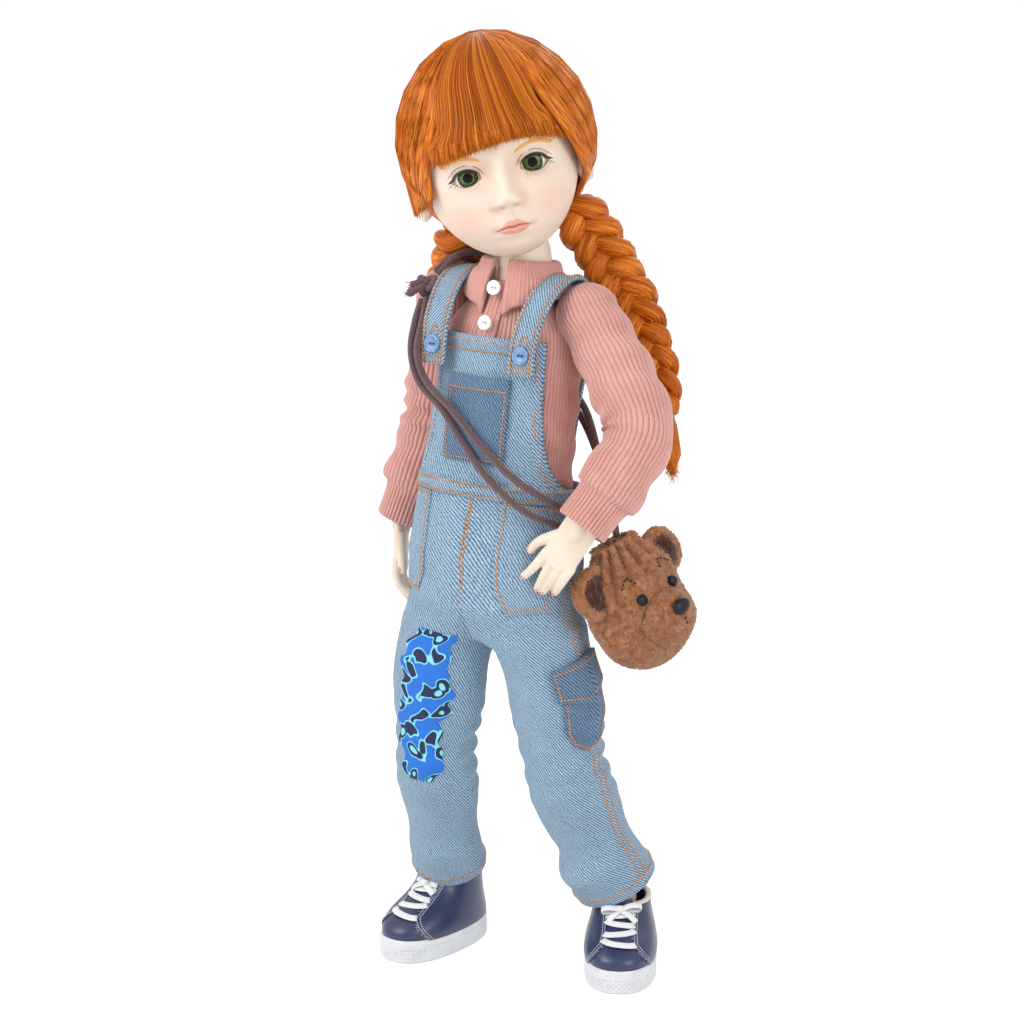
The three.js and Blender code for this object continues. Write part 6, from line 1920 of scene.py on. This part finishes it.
def stay_angle(height):
    """Where a side panel's front edge runs, from the sole up beside the laces."""
    return np.interp(height, [9.4, 12, 15, 17.5, 20, 28.5], [-38, -46, -58, -69, -70, -64])


def sole_rows():
    """The sole's side, with a diamond grid pressed round the toe and two grooves along the sides."""
    angle = circle(sole_columns)
    z = np.concatenate([[0, 0.35], np.linspace(0.9, 8.8, 38), [9.25, 9.4]])[:, None]
    c, s = np.cos(angle), np.sin(angle)
    toe = np.clip((-s - 0.55) / 0.15, 0, 1)
    grow = -1.1 + 1.1 * np.minimum(z / 0.9, 1) ** 0.5 - 0.6 * np.maximum(z - 8.8, 0) / 0.6
    run, rise = angle * 21, z * 1.05
    grid = np.maximum(np.abs(np.sin((run + rise) * 1.45)), np.abs(np.sin((run - rise) * 1.45)))
    relief = (grid - 1) * 0.8 * toe * ((z > 1.2) & (z < 6.0))
    grooves = -0.35 * (np.exp(-((z - 3.2) / 0.3) ** 2) + np.exp(-((z - 6.6) / 0.3) ** 2)) * (1 - toe)
    lift = grow + relief + grooves
    x = squared(c, 0.84) * (14.2 + lift) * (1 - toe_narrowing * s)
    y = squared(s, 0.84) * (27.3 + lift) - foot_back
    return np.stack(np.broadcast_arrays(x, y, z - foot_high), axis=-1)


def flat_lace(points, wide=lace_half):
    """A flat lace laid along points, with its wide side to the front of the shoe."""
    line = smooth_line(points, 16)
    first = np.cross(line[1] - line[0], lace_faces)
    return closed_tube(line, wide, 10, first=unit(first), depth=lace_thick / wide)


def lace_place(x, height, lift):
    """A place over the front of the shoe at x from its middle."""
    return shoe_place(np.degrees(-np.pi / 2 + x / 13.5), height, lift)


bows = {
    "left": [[(0, 0, 0), (4.5, -1.0, 2.2), (8.2, -0.4, 1.8), (7.6, 0.6, 0.0), (3.4, 0.6, -0.4), (0, 0, 0)],
             [(0, 0, 0), (-4.2, -1.6, 1.2), (-7.4, -1.0, 0.2), (-6.6, 0.4, -1.4), (-3, 0.2, -0.8),
              (0, 0, 0)],
             [(0, 0, 0), (3.6, -2.2, -1.6), (6.4, -2.6, -4.2)],
             [(0, 0, 0), (-3.4, -2.4, -2.4), (-5, -2.8, -5.6)]],
    "right": [[(0, 0, 0), (3.0, -1.4, -1.0), (5.6, -1.4, -3.2)],
              [(0, 0, 0), (-3.2, -1.4, -1.2), (-5.8, -1.2, -3.4)]],
}
fray = np.random.default_rng(7)
for side, (origin, axes) in foot_frames.items():
    body = "foot_" + side

    def in_foot(points, origin=origin, axes=axes):
        return in_frame(origin, axes, points)

    upper = sheet_over("shoe_vamp_" + side, np.linspace(0, 360, 181), np.linspace(8.6, 28.3, 44),
                       lambda a, z, lift: shoe_place(a, z, lift - 1.2), 1.2, leather, in_foot)
    given_to(upper, body, "shoe_leather", "shoe_upper_" + side)
    edge_lines, fray_lines = [], []
    heights = np.linspace(9.0, 28.4, 46)
    for hand in (1, -1):
        def panel(u, z, lift, hand=hand):
            front = stay_angle(z)
            turn = 90 + (front - 90) * u
            return shoe_place(np.where(hand > 0, turn, 180 - turn), z, lift + 0.02)

        side_name = "outer" if hand > 0 else "inner"
        stay = sheet_over(f"shoe_panel_{side_name}_{side}", np.linspace(0, 1, 70), heights, panel, 0.6,
                          leather, in_foot)
        given_to(stay, body, "shoe_leather")
        edge_lines += [in_foot(panel(inset, heights, 0.62)) for inset in (0.985, 0.955)]
        for z in fray.uniform(9.6, 28, 60):
            start = panel(1.0, z, 0.35)
            way = np.array([-0.5 * hand, -1.0, 0.3]) * fray.uniform(0.3, 0.9) + fray.normal(0, 0.18, 3)
            fray_lines.append(in_foot([start, start + way * 0.6, start + way]))
    count = len(fray_lines)
    given_to(sewn("shoe_stitches_" + side, edge_lines, raw_edge, 1.0, 0.2), body, "shoe_leather")
    frayed = threads("shoe_fray_" + side, fray_lines, [fray_radius] * count, [0.5] * count, raw_edge)
    given_to(frayed, body, "shoe_leather")
    tongue = sheet_over("shoe_tongue_" + side, np.linspace(-4.6, 4.6, 24), np.linspace(17, 30.5, 24),
                        lambda x, z, lift: lace_place(x, z, lift + 0.4 - 0.03 * x ** 2), 0.7, leather,
                        in_foot)
    given_to(tongue, body, "shoe_leather")
    rim = in_foot(shoe_place(np.linspace(0, 360, 120), 28.2, -0.4))
    given_to(one_piece("shoe_lining_" + side, [closed_tube(rim, 1.0, depth=1.2)], lining), body,
             "shoe_leather")
    rows = sole_rows()
    points, faces = capped(len(rows), sole_columns, rows.reshape(-1, 3))
    sole = facing_out(new_piece("shoe_sole_rubber_" + side, in_foot(points), faces, rubber))
    given_to(sole, body, "sole_rubber", "shoe_sole_" + side)
    parts = []
    for k, z in enumerate((18.0, 20.3, 22.7, 25.2, 27.6)):
        half = 5.6 - 0.2 * k
        rise = 0.5 if k % 2 else -0.5
        parts.append(flat_lace([lace_place(x, z + rise * x / half, 1.8 - 0.9 * (abs(x) / half) ** 4)
                                for x in np.linspace(-half, half, 7)]))
    bow_at = lace_place(0.0, 27.4, 2.4)
    parts += [flat_lace(bow_at + np.array(strand), 1.25) for strand in bows[side]]
    parts.append(closed_tube(bow_at + np.array([(-1.4, 0, 0), (0, -0.5, 0.3), (1.4, 0, 0)]), 1.5, depth=0.8))
    laces = one_piece("shoe_lace_" + side, parts, lace_cotton, in_foot)
    given_to(laces, body, "lace_cotton", "shoe_laces_" + side)

# Bag: a small pouch of short brown plush made as a generic bear's head, stuffed a little and gathered
# at its top, where its cord runs. Ears, muzzle, nose and button eyes are sewn on; brows are stitched.
bag_half = (21.0, 14.0, 25.0)
bag_hang = 26.2
pouch_marks = [(-1, 0.1), (-0.94, 0.4), (-0.75, 0.74), (-0.4, 0.97), (0, 1.0), (0.4, 0.88), (0.7, 0.66),
               (0.88, 0.46), (0.96, 0.42), (1.0, 0.46)]
pouch_sizes = smooth_line([(share, size, 0) for share, size in pouch_marks], 160).T[:2]
bag_axes = np.array([bag_side, bag_back, bag_up])


def plush_cloth(name, deep, pale, bright):
    """Short plush: soft and matt, its pile lying in small clumps."""
    material, tree, shader = new_material(name, 0.95, Sheen_Weight=0.4, Sheen_Roughness=0.5)
    place = millimetres(tree)
    clumps = mapped(tree, noise_of(tree, place, 0.45, 4), 0.35, 0.65, 0, 1, True)
    colour = mixed(tree, clumps, deep, pale)
    fluff = mapped(tree, noise_of(tree, place, 2.2, 3), 0.5, 0.8, 0, 0.7)
    coloured(tree, shader, mixed(tree, fluff, colour, bright))
    bumped(tree, shader, noise_of(tree, place, 1.4, 4), 0.8, 0.5)
    return material


plush = plush_cloth("brown_bag_plush", "B2754B", "CF9064", "E2AE88")
ear_plush = plush_cloth("dark_ear_plush", "4A231A", "63352A", "7A4738")
bead_black = clouded("black_glossy_bead", 0.35, "121118", "221F28", 0.5, Specular_IOR_Level=0.25)
brow_thread = clouded("dark_brow_thread", 0.8, "1E1512", "3A2A24", 2)
pile_density = 4.2


def pouch_place(turn, share, lift=0.0):
    """A place on the pouch, by angle round it and share of its half height, with its gathers."""
    turn, share = np.broadcast_arrays(turn, share)
    size = np.interp(share, *pouch_sizes)
    pleats = 1.7 * np.clip((share + 0.15) / 1.1, 0, 1) ** 1.6 * np.clip((1.25 - share) / 0.4, 0, 1)
    pleats = pleats * np.sin(turn * 13 + 0.8 * np.sin(turn * 3))
    lumps = 0.7 * np.sin(turn * 3 + share * 4) + 0.5 * np.sin(turn * 5 - share * 7 + 1)
    sag = 1.3 * np.exp(-((share + 0.55) / 0.3) ** 2) * (0.5 - 0.5 * np.sin(turn))
    grow = lift + pleats + lumps * np.clip(1 - np.abs(share), 0, 1) + sag
    return np.stack([(bag_half[0] * size + grow) * np.cos(turn), (bag_half[1] * size + grow) * np.sin(turn),
                     bag_half[2] * share - bag_hang], axis=-1)


def plush_pile():
    """Stands short bent tufts all over a plush piece, of lengths that vary at random."""
    tree, given = node_group("plush_pile", Cloth="Geometry", Density="Float", Length="Float", Seed="Int")
    spread = add_node(tree, "GeometryNodeDistributePointsOnFaces", {},
                      {"Mesh": given.outputs["Cloth"], "Density": given.outputs["Density"],
                       "Seed": given.outputs["Seed"]})
    place = add_node(tree, "GeometryNodeInputPosition")
    sway = add_node(tree, "ShaderNodeTexNoise", {},
                    {"Vector": place.outputs[0], "Scale": 420.0, "Detail": 1.0})
    centred = add_node(tree, "ShaderNodeVectorMath", {"operation": "SUBTRACT"},
                       {0: sway.outputs["Color"], 1: (0.5, 0.5, 0.62)})
    lean = add_node(tree, "ShaderNodeVectorMath", {"operation": "SCALE"},
                    {0: centred.outputs[0], "Scale": 3.2})
    way = add_node(tree, "ShaderNodeVectorMath", {"operation": "ADD"},
                   {0: spread.outputs["Normal"], 1: lean.outputs[0]})
    turned = add_node(tree, "FunctionNodeAlignRotationToVector", {"axis": "Z"}, {"Vector": way.outputs[0]})
    tuft = add_node(tree, "GeometryNodeMeshCone", {"fill_type": "NONE"},
                    {"Vertices": 3, "Radius Top": 0.0, "Radius Bottom": 0.26, "Depth": 1.0})
    size = add_node(tree, "FunctionNodeRandomValue", {"data_type": "FLOAT"}, {2: 0.7, 3: 1.25})
    length = math_of(tree, "MULTIPLY", size.outputs[1], given.outputs["Length"])
    laid = add_node(tree, "GeometryNodeInstanceOnPoints", {},
                    {"Points": spread.outputs["Points"], "Instance": tuft.outputs["Mesh"],
                     "Rotation": turned.outputs[0], "Scale": length})
    both = add_node(tree, "GeometryNodeJoinGeometry")
    tree.links.new(given.outputs["Cloth"], both.inputs[0])
    tree.links.new(laid.outputs[0], both.inputs[0])
    return ended(tree, given, both)


pile_tree = plush_pile()


def furred(obj, length, seed, material):
    """The piece with its pile, as one plain mesh under the same name."""
    name = obj.name
    obj.name = name + "_cloth"
    piece = made_by(pile_tree, obj, {"Density": pile_density / MM ** 2, "Length": length * MM, "Seed": seed,
                                     "Material": material}, name)
    return piece


def in_bag(points):
    """Points of the bag on the whole doll."""
    return in_frame(bag_pivot, bag_axes, np.asarray(points))


pouch_turns = circle(220)
outside = np.linspace(-1, 1, 110)
mouth = [(0.985, 2.5), (0.9, 3.0), (0.8, 3.5)]
shares = np.append(outside, [share for share, _ in mouth])
pouch_rows = np.array([pouch_place(pouch_turns, share) for share in outside]
                      + [pouch_place(pouch_turns, share, -depth) for share, depth in mouth])
pouch_cloth = round_cloth(pouch_rows, 110, shares * 25)
pouch = rows_to_piece("bag_pouch_plush", in_bag(pouch_rows), pouch_cloth, plush, (True, True))
ring = circle(60)
muzzle = []
for share in np.linspace(0.02, 0.98, 26):
    wide = np.sin(share * np.pi) * (1 + 0.03 * np.sin(ring * 5 + share * 9))
    muzzle.append(np.stack([11.6 * wide * np.cos(ring), -12.5 - 9.54 * np.cos(share * np.pi) + 0 * ring,
                            -33.6 + 10.2 * wide * np.sin(ring)], axis=1))
muzzle = np.array(muzzle)
muzzle_cloth = round_cloth(muzzle, 70, np.linspace(0, 30, len(muzzle)))
snout = rows_to_piece("bag_muzzle_plush", in_bag(muzzle), muzzle_cloth, plush)
given_to(furred(pouch, 1.25, 3, plush), "bag", "bag_plush", "bag_pouch")
given_to(furred(snout, 1.25, 4, plush), "bag", "bag_plush")
ear_parts = {
    "shell": (9.6, plush, [(-2.1, 0.5), (-2.3, 0.85), (-1.4, 0.98), (0.2, 1.0), (1.6, 0.97), (2.4, 0.85),
                           (2.5, 0.5)]),
    "inside": (6.4, ear_plush, [(-3.0, 0.5), (-2.9, 0.8), (-2.4, 1.0), (-1.8, 0.9), (-1.6, 0.5)]),
}
ring = circle(64)
for side, sign in (("left", 1), ("right", -1)):
    tilt = np.radians(sign * 30)
    turned = np.array([[np.cos(tilt), 0, -np.sin(tilt)], [0, 1, 0], [np.sin(tilt), 0, np.cos(tilt)]])
    centre = np.array([sign * 18.6, -1, -14.2])
    for part, (radius, material, depths) in ear_parts.items():
        reach = radius * (1 + 0.03 * np.sin(ring * 4 + sign))
        rows = np.array([centre + np.stack([share * reach * np.cos(ring), np.full(len(ring), depth),
                                            share * reach * np.sin(ring)], axis=1) @ turned
                         for depth, share in depths])
        ear = rows_to_piece(f"bag_ear_{part}_{side}", in_bag(rows),
                            round_cloth(rows, 50, np.arange(len(depths)) * 2), material)
        nodes = ["bag_ear_" + side] if part == "shell" else []
        given_to(furred(ear, 1.1, 5 + sign, material), "bag", "bag_plush", *nodes)
bead_rows, bead_sides = 15, 28
beads = []
for at, size in (((0, -23.2, -29.8), (4.2, 1.9, 3.2)), ((-8.6, -13.6, -22.6), (2.3, 1.6, 2.3)),
                 ((8.6, -13.6, -22.6), (2.3, 1.6, 2.3))):
    rows = np.array([[(np.cos(t) * np.cos(u), np.sin(u), np.sin(t) * np.cos(u)) for t in circle(bead_sides)]
                     for u in np.linspace(-1.4, 1.4, bead_rows)])
    points, faces = capped(bead_rows, bead_sides, (rows * size + at).reshape(-1, 3))
    beads.append((points, faces, points[:, :2]))
given_to(one_piece("bag_eyes_and_nose", beads, bead_black, in_bag), "bag", "bag_plush")
arch = np.linspace(0, 1, 20)
brow_lines = [in_bag(pouch_place(-np.pi / 2 + sign * (0.42 + 0.3 * arch),
                                 0.42 + 0.1 * np.sin(arch * np.pi), 1.3)) for sign in (-1, 1)]
mouth_line = np.linspace(0, 1, 40)
brow_lines.append(in_bag(np.stack([0 * mouth_line, -22.9 + 1.6 * (2 * mouth_line - 1) ** 2,
                                   -33.5 - 4.5 * mouth_line], axis=1)))
given_to(sewn("bag_brow_stitches", brow_lines, brow_thread, 1.6, 0.34), "bag", "bag_plush")

# Floor and light: a plain white studio floor, one broad soft lamp to each side, and a soft sky. The
# floor reads as white to the camera, so only the doll's own shadow shows on it.
floor_reach = 12000


def seen_share(tree):
    """1 for rays that a viewer sees, straight or by reflection, and 0 for rays of light."""
    rays = add_node(tree, "ShaderNodeLightPath")
    return math_of(tree, "MAXIMUM", rays.outputs["Is Camera Ray"],
                   math_of(tree, "MAXIMUM", rays.outputs["Is Glossy Ray"],
                           rays.outputs["Is Transmission Ray"]))


white_floor, tree, shader = new_material("white_floor", 0.95, Base_Color=linear("F6F6F6"),
                                         Emission_Color=linear("FFFFFF"))
tree.links.new(math_of(tree, "MULTIPLY", seen_share(tree), 0.4), shader.inputs["Emission Strength"])
corners = [(x * floor_reach, y * floor_reach, 0) for x, y in ((-1, -1), (1, -1), (1, 1), (-1, 1))]
new_piece("floor", corners, [[0, 1, 2, 3]], white_floor)
world = bpy.data.worlds.new("studio")
bpy.context.scene.world = world
world.use_nodes = True
sky = world.node_tree
soft_sky = sky.nodes["Background"]
soft_sky.inputs["Color"].default_value = linear("FFFFFF")
sky.links.new(mapped(sky, seen_share(sky), 0, 1, 0.62, 1.0), soft_sky.inputs["Strength"])
lamps_aim = (0, 0, 180)
lamps = {
    "key_lamp": ((-520, -900, 900), 700, 9.0),
    "side_lamp": ((950, -350, 620), 500, 4.0),
    "back_lamp": ((-300, 900, 800), 600, 3.0),
}
for lamp_name, (at, width, watts) in lamps.items():
    lamp_data = bpy.data.lights.new(lamp_name, "AREA")
    lamp_data.energy = watts
    lamp_data.size = width * MM
    lamp = linked(lamp_name, lamp_data)
    lamp.location = Vector(at) * MM
    lamp.rotation_euler = (Vector(lamps_aim) - Vector(at)).to_track_quat("-Z", "Y").to_euler()
bpy.context.scene.view_settings.view_transform = "Standard"
